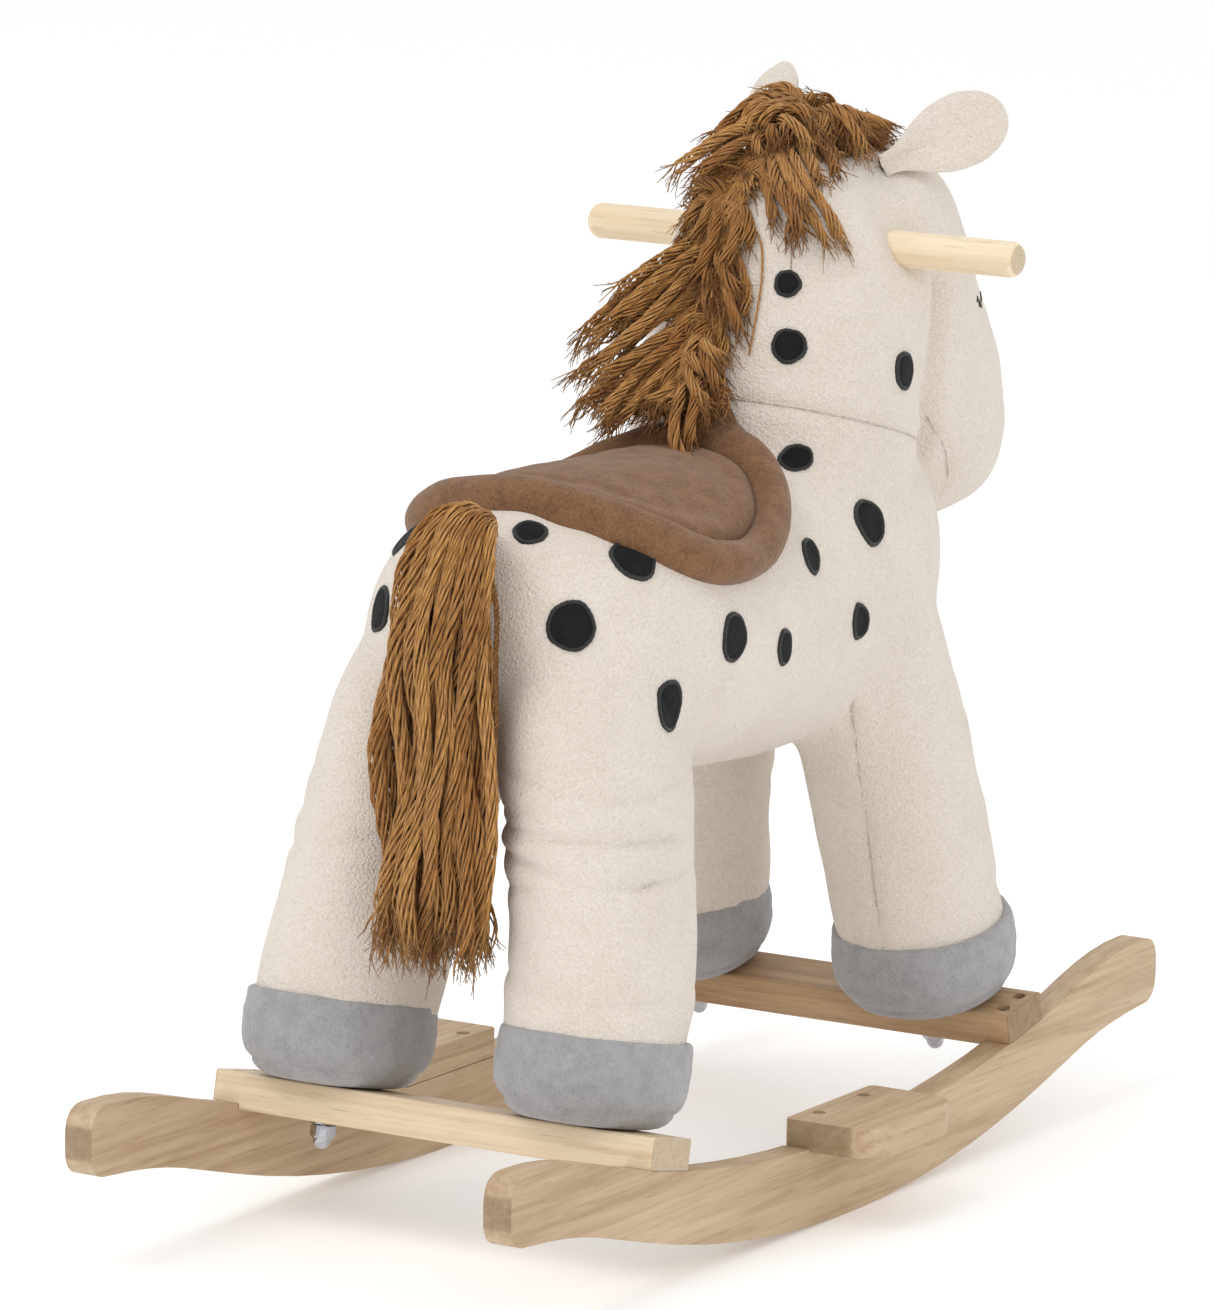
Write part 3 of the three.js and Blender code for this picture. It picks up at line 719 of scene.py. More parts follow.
class Slot(Enum):
    """The record's material slots."""

    RUNNER = "runner_wood"
    BAR = "bar_wood"
    HANDLE = "handle_wood"
    FRAME = "frame_wood"
    BRIGHT = "bright_steel"
    SCREW = "screw_steel"
    FLEECE = "fleece"
    HOOF = "hoof_plush"
    SUEDE = "suede"
    YARN = "yarn"
    SPOT = "spot_cloth"
    THREAD = "thread"


class Finishes:
    """Every finish of the horse, each painted once."""

    def __init__(self) -> None:
        """Paints the finishes."""
        runner = (tint(205, 181, 149), tint(166, 137, 103))
        pale = (tint(244, 228, 198), tint(226, 202, 164))
        self.runner = Wood("runner_wood", *runner, Grain.ALONG_Y, 0.388).paint()
        self.front_bar = Wood("front_bar_wood", tint(200, 168, 130), tint(154, 120, 84),
                              Grain.ALONG_X, 0.150, shift=3.1).paint()
        self.rear_bar = Wood("rear_bar_wood", tint(238, 219, 190), tint(210, 186, 150),
                             Grain.ALONG_X, 0.150, shift=1.7).paint()
        self.footrest = Wood("footrest_wood", *runner, Grain.ALONG_Y, 0.052, shift=5.3).paint()
        self.handle = Wood("handle_wood", *pale, Grain.ALONG_X, 0.149, 160.0).paint()
        self.frame = Wood("frame_wood", tint(222, 192, 150), tint(188, 150, 108),
                          Grain.ALONG_Z).paint()
        # the second colour of each Pile is painted shade for its tuft hollows and seams, and also the
        # tone of its brushed patches
        self.fleece = Pile("fleece", tint(241, 232, 221), tint(206, 188, 167), 640.0, 0.0032,
                           16.0, 0.12, tuft_shade=0.34, seams=True).paint()
        self.hoof = Pile("hoof_plush", tint(174, 173, 175), tint(134, 133, 136), 700.0, 0.0016,
                         90.0, 0.3, tuft_shade=0.35, sheen=0.3).paint()
        self.suede = Pile("suede", tint(142, 105, 74), tint(92, 64, 43), 620.0, 0.0009,
                          75.0, 0.3, tuft_shade=0.5, sheen=0.2).paint()
        self.spot = Pile("spot_cloth", tint(30, 30, 32), tint(8, 8, 9), 600.0, 0.0010,
                         60.0, 0.4, sheen=0.05).paint()
        # the second colour of each Stitch is the painted highlight on its thread tops
        self.edge = Stitch("spot_stitching", tint(8, 8, 9), tint(36, 36, 39)).paint()
        self.thread = Stitch("thread", tint(38, 28, 24), tint(92, 74, 64)).paint()
        # the dark colour of each Yarn is painted shade between its plies
        self.yarn = Yarn("yarn", tint(207, 154, 90), tint(167, 112, 56), tint(78, 44, 17)).paint()
        self.cord = Yarn("dark_cord", tint(140, 98, 52), tint(104, 68, 34), tint(50, 28, 12)).paint()
        self.bright = Metal("bright_steel", tint(186, 187, 192), 0.10).paint()
        self.screw = Metal("screw_steel", tint(96, 88, 80), 0.38).paint()


def put_number(obj: bpy.types.Object, name: str, values: Array) -> None:
    """Stores one number on each vertex of a piece."""
    held = obj.data.attributes.new(name, "FLOAT", "POINT")
    held.data.foreach_set("value", np.asarray(values, np.float32).ravel())


def dress(obj: bpy.types.Object, finish: bpy.types.Material, slot: Slot, body: str,
          *stands_for: str) -> bpy.types.Object:
    """Gives a piece its finish, sets it on its body, and hides the nodes it stands for."""
    obj.data.materials.clear()
    obj.data.materials.append(finish)
    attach(obj, body)
    if stands_for:
        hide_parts(*stands_for)
    LOG.info("%s: %d faces", obj.name, len(obj.data.polygons))
    return obj


# ------------------------------------------------------------------ the wooden base


def softened(node: str, name: str, width: float) -> bpy.types.Object:
    """A copy of a node with its corners merged and its sharp edges sanded round.

    Args:
        node: the CAD node that gives the shape.
        name: the new piece's name.
        width: how far from each edge the rounding starts.

    Returns:
        The new piece, with no modifiers.
    """
    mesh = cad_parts[node].data.copy()
    mesh.name = name
    obj = bpy.data.objects.new(name, mesh)
    bpy.context.scene.collection.objects.link(obj)
    for attribute in ("custom_normal", "sharp_edge", "sharp_face"):
        if attribute in mesh.attributes:
            mesh.attributes.remove(mesh.attributes[attribute])
    merge = obj.modifiers.new("merge", "WELD")
    merge.merge_threshold = 0.00002
    flat = obj.modifiers.new("flat", "DECIMATE")
    flat.decimate_type = "DISSOLVE"
    flat.angle_limit = np.radians(1.0)
    edge = obj.modifiers.new("edge", "BEVEL")
    edge.width = width
    edge.segments = 3
    edge.limit_method = "ANGLE"
    edge.angle_limit = np.radians(35.0)
    bake_modifiers(obj)
    obj.data.set_sharp_from_angle(angle=np.radians(40.0))
    return obj


@dataclass
class RockerBase:
    """The two runners, the two crossbars that join them, and the two footrests."""

    finishes: Finishes
    edge: float = 1.6 * MM
    footrest_edge: float = 1.8 * MM

    def build(self) -> None:
        """Builds and dresses every board."""
        looks = self.finishes
        for side in Side:
            word = side.name.lower()
            runner = softened(f"{word}_runner", f"{word}_runner_board", self.edge)
            dress(runner, looks.runner, Slot.RUNNER, "horse", f"{word}_runner")
            rest = softened(f"{word}_footrest", f"{word}_footrest_board", self.footrest_edge)
            dress(rest, looks.footrest, Slot.BAR, "horse", f"{word}_footrest")
        for end, finish in ((End.FRONT, looks.front_bar), (End.REAR, looks.rear_bar)):
            word = end.name.lower()
            bar = softened(f"{word}_crossbar", f"{word}_crossbar_board", self.edge)
            dress(bar, finish, Slot.BAR, "horse", f"{word}_crossbar")


@dataclass
class Seat:
    """The turned frame of one end, which the runner's slope gives to bar, bolts and legs."""

    end: End
    station: float = 215 * MM
    height: float = 68.5 * MM
    tilt: float = float(np.arcsin(215 / 1085))

    def matrix(self) -> Matrix:
        """The frame as a matrix: a turn about X, then a move along the base."""
        turn = Matrix.Rotation(self.end.value * self.tilt, 4, "X")
        return Matrix.Translation((0.0, self.end.value * self.station, self.height)) @ turn


@dataclass
class Hardware:
    """The screws, bolts and washers of the base, and its domed cap nuts."""

    finishes: Finishes
    spread: float = 85 * MM
    flats: float = 13 * MM
    under: float = -5.4 * MM
    hexagon: float = 8 * MM
    dome: float = 6.5 * MM
    sides: int = 60

    def nut(self, side: Side, end: End) -> bpy.types.Object:
        """A chamfered hexagon with a half-round cap below it.

        The radius at an angle is the least of the hexagon's, which is half the flats over the
        cosine of the angle from the nearest flat's middle, and of a round limit for each height.
        """
        turn = np.arange(self.sides) / self.sides * TAU
        off = (turn + np.pi / 6) % (np.pi / 3) - np.pi / 6
        hexagon = self.flats / 2 / np.cos(off)
        cap = np.linspace(0, np.pi / 2, 9)[:-1]
        ball = 0.43 * self.flats
        drop = np.concatenate([[0, 0.6 * MM, self.hexagon - 1.2 * MM, self.hexagon, self.hexagon],
                               self.hexagon + self.dome * np.sin(cap)])
        limit = np.array([0.46, 0.6, 0.6, 0.47, 0.44]) * self.flats
        limit = np.concatenate([limit, ball * np.cos(cap) ** 0.85])
        ring = np.minimum(hexagon[None, :], limit[:, None])
        x = side.value * self.spread + ring * np.cos(turn)
        y = -ring * np.sin(turn)
        z = np.broadcast_to((self.under - drop)[:, None], ring.shape)
        points = place(np.stack([x, y, z], axis=-1), Seat(end).matrix())
        name = f"{end.name.lower()}_{side.name.lower()}_cap_nut"
        made = grid_object(name + "_domed", points)
        made.data.set_sharp_from_angle(angle=np.radians(28.0))
        return dress(made, self.finishes.bright, Slot.BRIGHT, "horse", name)

    def build(self) -> None:
        """Makes the nuts and finishes the screws, bolts, washers and inner boards."""
        for side in Side:
            for end in End:
                self.nut(side, end)
        kinds = {"screw": self.finishes.screw, "bolt": self.finishes.bright,
                 "washer": self.finishes.bright, "post": self.finishes.frame,
                 "rail": self.finishes.frame, "board": self.finishes.frame}
        for name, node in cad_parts.items():
            for word, finish in kinds.items():
                if word in name.split("_") and not node.hide_render:
                    for held in node.material_slots:
                        held.material = finish


@dataclass
class Handle:
    """The dowel that goes through the neck, with rounded tips."""

    finishes: Finishes
    radius: float = 11 * MM
    half: float = 150.5 * MM
    tip: float = 7 * MM
    along: float = -181 * MM
    height: float = 551 * MM
    sides: int = 64

    def build(self) -> None:
        """A circle carried along X whose radius falls in a quarter round at each tip."""
        turn = np.linspace(0, np.pi / 2, 8)
        x = self.half - self.tip * (1 - np.sin(turn))
        r = self.radius - self.tip * (1 - np.cos(turn))
        middle = np.linspace(-x[0], x[0], 12)[1:-1]
        path = np.concatenate([-x[::-1], middle, x])
        radius = np.concatenate([r[::-1], np.full(len(middle), self.radius), r])
        centres = np.stack([path, np.full_like(path, self.along), np.full_like(path, self.height)], 1)
        rings = sweep(centres, Y_AXIS, Z_AXIS, radius, radius, self.sides)
        dress(grid_object("handle_dowel_turned", rings), self.finishes.handle, Slot.HANDLE,
              "horse", "handle_dowel")


# ------------------------------------------------------------------ the stuffed horse


@dataclass
class PlushBody:
    """The sewn and stuffed skin: trunk, neck, head and legs in one piece of fleece.

    Stations are in millimetres. Trunk: share from rump to chest, height above the deck, half
    width, half height. Neck and head: behind the chest, above the deck, half width, half depth.
    Legs: share of the height, past the bolt, shift inward, half width, half depth. Folds: height
    in metres, slope, depth and, on the hind legs, width in millimetres.
    """

    finishes: Finishes
    deck: float = 337.0
    rump: float = 214.0
    chest: float = -257.0
    bolt: float = 85.0
    bar_top: float = 19.1
    leg_low: float = 30.0
    leg_high: float = 278.0
    haunch: float = 28.0
    voxel: float = 5.2 * MM
    eased: int = 14
    pressure: float = 4.0
    swell: float = 5 * MM
    kept_swell: float = 0.6
    sides: int = 64
    trunk_power: float = 2.2
    head_power: float = 2.3
    leg_power: float = 2.15
    handle_at: tuple = (-0.181, 0.551)
    hind_folds: tuple = ((0.252, -0.06, 3.6, 9), (0.268, 0.10, 2.0, 6), (0.236, -0.16, 2.4, 6),
                         (0.223, 0.08, 1.6, 5), (0.168, -0.1, 1.5, 6), (0.285, -0.22, 2.0, 6))
    front_folds: tuple = ((0.262, 0.2, 1.8), (0.205, -0.12, 1.3), (0.15, 0.1, 1.1))
    trunk: tuple = ((0.013, 15, 40, 40), (0.045, 13, 70, 62), (0.098, 11, 92, 77),
                    (0.19, 11, 105, 87), (0.306, 9, 106, 89), (0.423, 6, 102, 91),
                    (0.54, 5, 99, 94), (0.656, 8, 98, 98), (0.762, 13, 98, 100),
                    (0.858, 17, 91, 95), (0.932, 17, 76, 80), (0.979, 15, 50, 52))
    neck: tuple = ((119, 48, 60, 52), (116, 75, 84, 74), (112, 108, 86, 76), (105, 143, 82, 74),
                   (97, 178, 77, 72), (89, 210, 72, 69), (83, 233, 62, 61), (79, 252, 47, 50),
                   (77, 264, 26, 30))
    head: tuple = ((72, 256, 35, 36), (69, 247, 56, 60), (61, 230, 68, 82), (50, 207, 74, 96),
                   (29, 176, 75, 95), (5, 144, 73, 89), (-20, 113, 72, 83), (-41, 85, 70, 74),
                   (-51, 65, 65, 62), (-55, 49, 54, 53), (-57, 38, 40, 41), (-58, 33, 26, 27))
    leg: tuple = ((0, 2, 8, 50, 53), (0.1, -1, 7, 52, 56), (0.24, -4, 7, 51.5, 56),
                  (0.42, -11, 6, 50.5, 57), (0.60, -20, 3, 49.5, 59), (0.79, -28, 2, 46, 60),
                  (0.92, -31, 4, 40, 50), (1, -33, 6, 26, 32))

    def trunk_rings(self) -> Array:
        """Squared ellipses across X and Z, carried from the rump to the chest."""
        t = np.array([s[0] for s in self.trunk])
        rows = np.array([s[1:] for s in self.trunk], float)
        at = np.linspace(t[0], t[-1], 60)
        rise, a, b = self.eased_rows(t, rows, at, squares=(1, 2))
        y = self.rump + (self.chest - self.rump) * at
        centres = np.stack([np.zeros_like(y), y, self.deck + rise], axis=1)
        return sweep(centres, X_AXIS, Z_AXIS, a, b, self.sides, self.trunk_power)

    @staticmethod
    def eased_rows(knots: Array, rows: Array, at: Array, squares: Sequence[int]) -> Array:
        """Reads station columns at new shares; those in squares are eased as their squares."""
        work = rows.copy()
        for c in squares:
            work[:, c] = work[:, c] ** 2
        out = smooth_curve(knots, work, at).T
        for c in squares:
            out[c] = np.sqrt(out[c])
        return out

    def bent_rings(self, stations: tuple, power: float) -> Array:
        """Squared ellipses set square to a path in the horse's middle plane."""
        rows = np.array(stations, float)
        gaps = np.linalg.norm(np.diff(rows[:, :2], axis=0), axis=1)
        knots = np.concatenate([[0], np.cumsum(gaps)])
        at = np.linspace(0, knots[-1], 50)
        behind, above, a, b = self.eased_rows(knots, rows, at, squares=(2, 3))
        centres = np.stack([np.zeros_like(at), self.chest + behind, self.deck + above], axis=1)
        heading = unit(np.gradient(centres, axis=0))
        across = np.broadcast_to(X_AXIS, centres.shape)
        return sweep(centres, across, np.cross(heading, across), a, b, self.sides, power)

    def leg_rings(self, side: Side, end: End) -> Array:
        """Squared ellipses carried up from the hoof; a hind leg also spreads towards the front."""
        rows = np.array(self.leg, float)
        at = np.linspace(0, 1, 50)
        past, shift, a, b = self.eased_rows(rows[:, 0], rows[:, 1:], at, squares=(2, 3))
        height = self.leg_low + (self.leg_high - self.leg_low) * at
        reach = self.haunch * np.minimum(at / 0.7, 1.0) * (end is End.REAR)
        centres = np.stack([side.value * (self.bolt + past), -end.value * (shift + reach / 2),
                            self.bar_top + height], axis=1)
        rings = sweep(centres, X_AXIS, Y_AXIS, a, b + reach / 2, self.sides, self.leg_power)
        return place(rings * MM, Seat(end).matrix()) / MM

    def skin(self) -> bpy.types.Object:
        """All parts as overlapping shells, made one even skin, then filled."""
        shells = [self.trunk_rings(), self.bent_rings(self.neck, self.trunk_power),
                  self.bent_rings(self.head, self.head_power)]
        shells += [self.leg_rings(side, end) for side in Side for end in End]
        verts, quads, tris, _ = join_arrays(grid_arrays(s * MM) for s in shells)
        obj = build_mesh("plush_body", verts, quads, tris)
        remesh(obj, self.voxel, self.eased)
        before = mesh_points(obj)
        puff(obj, self.pressure, self.swell)
        after = mesh_points(obj)
        if len(after) == len(before):
            free = smoothstep(0.085, 0.16, before[:, 2])[:, None]
            set_points(obj, before + (after - before) * self.kept_swell * free)
        subdivide(obj)
        return obj

    def seam_lines(self) -> list[Array]:
        """Sewn lines, in millimetres, each a row of places that the skin passes near."""
        lines = []
        for s in Side:
            x = s.value
            lines.append(np.array([(x * 63, -228, 440), (x * 64, -240, 428), (x * 63, -251, 416),
                                   (x * 61, -263, 396), (x * 52, -268, 384)]))
            lines.append(np.array([(x * 63, -255, 416), (x * 68, -293, 426), (x * 60, -318, 430)]))
            lines.append(np.array([(x * 79, -111, 292), (x * 80, -112, 272), (x * 84, -119, 222),
                                   (x * 88, -131, 159), (x * 90, -138, 120)]))
            lines.append(np.array([(x * 84, 262, 285), (x * 92, 268, 230), (x * 95, 272, 170),
                                   (x * 95, 276, 125)]))
        return lines

    def seam_distance(self, points: Array, normals: Array) -> tuple[Array, Array]:
        """How far each place is from the nearest sewn line, in metres.

        The neck's seam is where the skin meets the plane z = 487 + 0.28 y, above the trunk. The
        first distance has a sign, for the side of the line; the second is to the line's own length.

        Args:
            points: places on the skin, n by 3.
            normals: the skin's normals there.

        Returns:
            The distance across the line and the distance from it.
        """
        plane = (points[:, 2] - 0.487 - 0.28 * points[:, 1]) / np.hypot(1, 0.28)
        past = np.maximum(-0.218 - points[:, 1], 0) + np.maximum(points[:, 1] - 0.02, 0)
        signed, best = plane, np.hypot(plane, past)
        for line in self.seam_lines():
            line = line * MM
            for a, b in zip(line[:-1], line[1:]):
                run = b - a
                t = np.clip((points - a) @ run / (run @ run), 0, 1)[:, None]
                far = np.linalg.norm(points - a - t * run, axis=1)
                across = (np.cross(unit(run), points - a) * normals).sum(axis=1)
                signed = np.where(far < best, across, signed)
                best = np.minimum(best, far)
        return signed, best

    def creases(self, p: Array) -> Array:
        """Depth of the folds and dimples at each place, in metres, outwards positive.

        Each is a bell curve across a line, faded along it: folds on the hind thighs, the pull
        round the handle, the gather under the saddle's front and soft lumps of stuffing.
        """
        x, y, z = p.T
        out = 1.3 * MM * ripple(p, 0.09, 3) + 0.5 * MM * ripple(p, 0.032, 5)
        hind = smoothstep(0.10, 0.17, y) * (1 - 0.6 * smoothstep(-0.02, 0.02, x))
        for height, slope, depth, wide in self.hind_folds:
            along = ripple(p * [1, 1, 0.2], 0.11, int(height * 1000))
            line = z - height - slope * (np.abs(x) - 0.06) - 0.004 * along
            fold = np.exp(-np.abs(line) / (wide * 0.6 * MM)) - 0.45 * bell(line + 9 * MM, 7 * MM)
            out -= 1.35 * depth * MM * fold * hind * np.clip(0.75 + along, 0, 1)
        front = smoothstep(-0.16, -0.22, y) * smoothstep(0.36, 0.30, z)
        for height, slope, depth in self.front_folds:
            along = ripple(p * [1, 1, 0.2], 0.12, int(height * 900))
            line = z - height - slope * (np.abs(x) - 0.06) - 0.003 * along
            out -= 1.2 * depth * MM * bell(line, 6 * MM) * front * np.clip(0.5 + along, 0, 1)
        round_handle = np.hypot(y - self.handle_at[0], z - self.handle_at[1])
        out -= 1.6 * MM * bell(round_handle, 0.015) * smoothstep(0.05, 0.06, np.abs(x))
        cheek = y + 0.214 - 0.10 * (z - 0.53) + 0.003 * ripple(p, 0.1, 8)
        span = smoothstep(0.395, 0.43, z) * smoothstep(0.548, 0.525, z)
        side = smoothstep(0.030, 0.050, np.abs(x))
        out -= 9.0 * MM * bell(cheek, 0.008) * span * side
        out += 3.0 * MM * bell(cheek - 0.024, 0.016) * span * side
        return out

    def sculpt(self, obj: bpy.types.Object) -> None:
        """Moves the skin along its normals by its folds and pulls it in along its seams."""
        p, n = mesh_points(obj), mesh_normals(obj)
        _, far = self.seam_distance(p, n)
        pull = -1.1 * MM * bell(far, 3.2 * MM) + 0.5 * MM * bell(far - 9 * MM, 6 * MM)
        gather = 0.3 * MM * ripple(p, 0.012, 12) * bell(far, 9 * MM)
        low = smoothstep(0.075, 0.13, p[:, 2])
        set_points(obj, p + n * ((self.creases(p) + pull) * low + gather)[:, None])
        across, far = self.seam_distance(mesh_points(obj), mesh_normals(obj))
        put_number(obj, "seam", across / MM)
        put_number(obj, "seam_far", far / MM)

    def build(self) -> bpy.types.Object:
        """Makes, sculpts and dresses the skin."""
        obj = self.skin()
        self.sculpt(obj)
        covers = [f"{end.name.lower()}_{side.name.lower()}_leg_cover" for end in End for side in Side]
        dress(obj, self.finishes.fleece, Slot.FLEECE, "horse", "body_cover", "neck_cover",
              "head_cover", "chin_panel", *covers)
        return obj


@dataclass
class Hooves:
    """The four grey velour hooves, each a cup with a hem above and a sewn sole below."""

    finishes: Finishes
    bolt: float = 85.0
    sole: float = 19.1
    proud: float = 2.6
    hem: float = 2.4
    sides: int = 110
    power: float = 2.15
    rings: tuple = ((0.0, 2, 8, 24, 27), (0.7, 2, 8, 33, 36), (3, 2, 8, 39.5, 42.5),
                    (7, 2, 8, 44, 47), (13, 2, 8, 48.3, 51.5), (22, 2, 8, 51.5, 55.5),
                    (35, 2, 8, 52, 57), (50, 2, 8, 51, 55))

    def cup(self, side: Side, end: End) -> bpy.types.Object:
        """Squared ellipses from the sole up to the hem, which rolls in under the fleece.

        A shallow groove at 11 mm is the sole's seam; ripples of less than 1 mm are the stuffing.
        """
        rows = np.array(self.rings, float)
        height = np.concatenate([np.linspace(0, 12, 14), np.linspace(14, 50, 22)])
        _, past, shift, a, b = np.vstack([height, smooth_curve(rows[:, 0], rows[:, 1:], height).T])
        groove = 1.5 * bell(height - 10.5, 1.8)
        a, b = a + self.proud - groove, b + self.proud - groove
        roll = np.linspace(0.25, np.pi, 9)
        height = np.concatenate([height, height[-1] + self.hem * np.sin(roll)])
        inward = self.hem * (1 - np.cos(roll)) + np.linspace(0, 2.2, len(roll))
        past, shift = (np.concatenate([v, np.full(len(roll), v[-1])]) for v in (past, shift))
        a, b = (np.concatenate([v, v[-1] - inward]) for v in (a, b))
        centres = np.stack([side.value * (self.bolt + past), -end.value * shift,
                            self.sole + height], axis=1)
        points = sweep(centres, X_AXIS, Y_AXIS, a, b, self.sides, self.power)
        middle = centres[:, None, :]
        lump = 1 + 0.012 * ripple(points + 31 * side.value, 34.0, 4 + int(end.value))
        lump = lump + 0.004 * ripple(points, 9.0, 6)
        fade = smoothstep(0, 6, height)[:, None, None]
        points = middle + (points - middle) * (1 + (lump[..., None] - 1) * fade)
        name = f"{end.name.lower()}_{side.name.lower()}_hoof"
        made = grid_object(name + "_velour", place(points * MM, Seat(end).matrix()))
        dress(made, self.finishes.hoof, Slot.HOOF, "horse", name)
        return made

    def build(self) -> None:
        """Makes all four."""
        for side in Side:
            for end in End:
                self.cup(side, end)


@dataclass
class Ears:
    """Two leaf-shaped ears, hollow in front and folded together at the root."""

    finishes: Finishes
    length: float = 87.0
    half_thick: float = 7.5
    swell: tuple = ((0, 0.30), (0.10, 0.33), (0.22, 0.50), (0.38, 0.80), (0.55, 0.98), (0.68, 1.0),
                    (0.82, 0.86), (0.92, 0.62), (0.98, 0.32), (1.0, 0.03))

    def ear(self, side: Side, tip: Colour, facing: Colour, height: float,
            half_width: float) -> bpy.types.Object:
        """Lens-shaped rings from root to tip: width by a sine swell, cupped across the width.

        The cup is a bend of the ring's middle backwards by the square of the place across it.
        """
        x = side.value
        root = np.array([x * 45.0, -210.0, height])
        heading = unit(np.array(tip, float))
        flat = np.array(facing, float)
        flat = unit(flat - heading * (flat @ heading))
        across = np.cross(flat, heading)
        t = 1 - (1 - np.linspace(0.0, 1.0, 70)) ** 1.6
        rows = np.array(self.swell, float)
        swell = np.sqrt(smooth_curve(rows[:, 0], rows[:, 1:] ** 2, t)[:, 0])
        wide = half_width * swell
        thick = self.half_thick * swell ** 0.6 * (1 - 0.25 * t)
        line = root + heading * (self.length * (t - 0.10))[:, None]
        line = line - flat * (5.0 * np.sin(np.pi * t))[:, None]
        angle = np.arange(72) / 72 * TAU
        c, s = np.cos(angle), np.sin(angle)
        pinch = np.abs(s) ** 1.15 * np.sign(s)
        side_way = wide[:, None] * c[None, :]
        lens = thick[:, None] * pinch[None, :]
        cup = 5.5 * (c ** 2)[None, :] * swell[:, None] + 3.5 * bell(t, 0.22)[:, None] * (c ** 2)[None]
        fold = -3.0 * bell(side_way / 4.0, 1.0) * bell(t - 0.15, 0.3)[:, None] * (s > 0)
        rim = 0.8 * bell(np.abs(c)[None, :] - 0.9, 0.05) * np.abs(s)[None, :]
        depth = lens + fold - rim * np.sign(s) + cup
        points = (line[:, None, :] + across * side_way[..., None] + flat * depth[..., None])
        points = points + 0.5 * ripple(points, 26.0, 7)[..., None] * flat
        if np.dot(np.cross(across, flat), heading) < 0:
            points = points[:, ::-1]
        name = f"{side.name.lower()}_ear"
        made = grid_object(name + "_sewn", points * MM)
        rows = np.full(len(made.data.vertices), 9.0)
        put_number(made, "seam", rows)
        put_number(made, "seam_far", rows)
        dress(made, self.finishes.fleece, Slot.FLEECE, "horse", name)
        return made

    def build(self) -> None:
        """Makes both."""
        self.ear(Side.RIGHT, (-44, -52, 28), (-0.68, 0.61, 0.28), 600.0, 23.0)
        self.ear(Side.LEFT, (24, -51, 47), (0.30, 0.85, 0.28), 594.0, 25.0)


# ------------------------------------------------------------------ saddle, spots and face


@dataclass
class Saddle:
    """A microsuede saddle: a broad stuffed rim rolled round a crowned pad."""

    finishes: Finishes
    skin: BVHTree
    body: PlushBody
    middle: float = 44.0
    half_length: float = 116.0
    half_arc: float = 112.0
    taper: float = 0.14
    power: float = 2.1
    rim: float = 25.0
    rim_height: float = 15.5
    pad_height: float = 10.5
    groove: float = -1.5
    steps: int = 280
    roll_steps: int = 40
    roll_power: float = 2.35

    def on_skin(self, turn: Array, inset: Array) -> tuple[Array, Array]:
        """Places and normals on the skin for turns round the outline and distances inside it.

        The place along the trunk is middle - share x length x sine, the arc over it is
        share x half arc x cosine x (1 - taper x sine), where share is 1 - inset / half length.
        """
        turn, inset = np.broadcast_arrays(turn, inset)
        share = 1 - inset / self.half_length
        y = self.middle - share * self.half_length * bulge(turn - np.pi / 2, self.power)
        arc = share * self.half_arc * bulge(turn, self.power) * (1 - self.taper * np.sin(turn))
        rows = np.array(self.body.trunk, float)
        along = (self.body.rump - y) / (self.body.rump - self.body.chest)
        rise, a, b = smooth_curve(rows[:, 0], rows[:, 1:], along).T.reshape(3, *y.shape)
        angle = np.pi / 2 - arc / ((a + b) / 2)
        point = np.stack([a * np.cos(angle), y, self.body.deck + rise + b * np.sin(angle)], -1) * MM
        normal = unit(np.stack([np.cos(angle) / a, 0 * a, np.sin(angle) / b], -1))
        flat = point.reshape(-1, 3)
        away = normal.reshape(-1, 3)
        landed = settle_on(self.skin, flat + away * 0.045, -away, np.zeros(len(flat)))
        far = np.linalg.norm(landed - flat, axis=1)[:, None]
        landed = np.where(far < 0.02, landed, flat)
        return landed.reshape(point.shape), normal

    def shell(self, name: str, turn: Array, inset: Array, lift: Array, wrap: bool) -> bpy.types.Object:
        """A closed surface standing lift above the skin at each turn and inset, all in rows."""
        base, normal = self.on_skin(turn, inset)
        points = base + normal * (lift * MM)[..., None]
        return grid_object(name, points, wrap)

    def build(self) -> None:
        """The rim is a flattened roll; the pad's height rises quickly at its edge, then slowly."""
        turn = np.arange(self.steps) / self.steps * TAU
        roll = np.arange(self.roll_steps) / self.roll_steps * TAU
        inset = self.rim / 2 * (1 - bulge(roll, self.roll_power))
        over = bulge(roll - np.pi / 2, self.roll_power)
        lift = np.where(over > 0, self.rim_height * over, 2.0 * over)
        grid = np.meshgrid(turn, inset, indexing="ij")
        wave = 0.5 * ripple(np.stack([np.cos(turn), np.sin(turn), turn * 0], 1), 0.35, 21)
        lift = np.broadcast_to(lift, grid[0].shape) + wave[:, None] * (over > 0.2)
        rim = self.shell("saddle_rim_roll", grid[0], grid[1], lift, True)
        dress(rim, self.finishes.suede, Slot.SUEDE, "horse", "saddle_rim")
        edge = self.rim + self.groove
        share = np.concatenate([np.linspace(0, 0.22, 12), np.linspace(0.26, 0.97, 20)])
        inset = edge + (self.half_length - edge) * share
        crown = self.pad_height * (0.62 * (1 - (1 - np.minimum(share / 0.16, 1)) ** 2) ** 0.5
                                   + 0.38 * np.sin(np.minimum(share, 1) * np.pi / 2))
        quilt = -1.2 * bell(share - 0.24, 0.06)
        inset = np.concatenate([inset[::-1], inset[::3]])
        lift = np.concatenate([(crown + quilt)[::-1], np.full(len(share[::3]), -2.0)])
        rows = np.meshgrid(inset, -turn, indexing="ij")
        pad = self.shell("saddle_pad_crown", rows[1], rows[0],
                         np.broadcast_to(lift[:, None], rows[0].shape), False)
        dress(pad, self.finishes.suede, Slot.SUEDE, "horse", "saddle_pad")


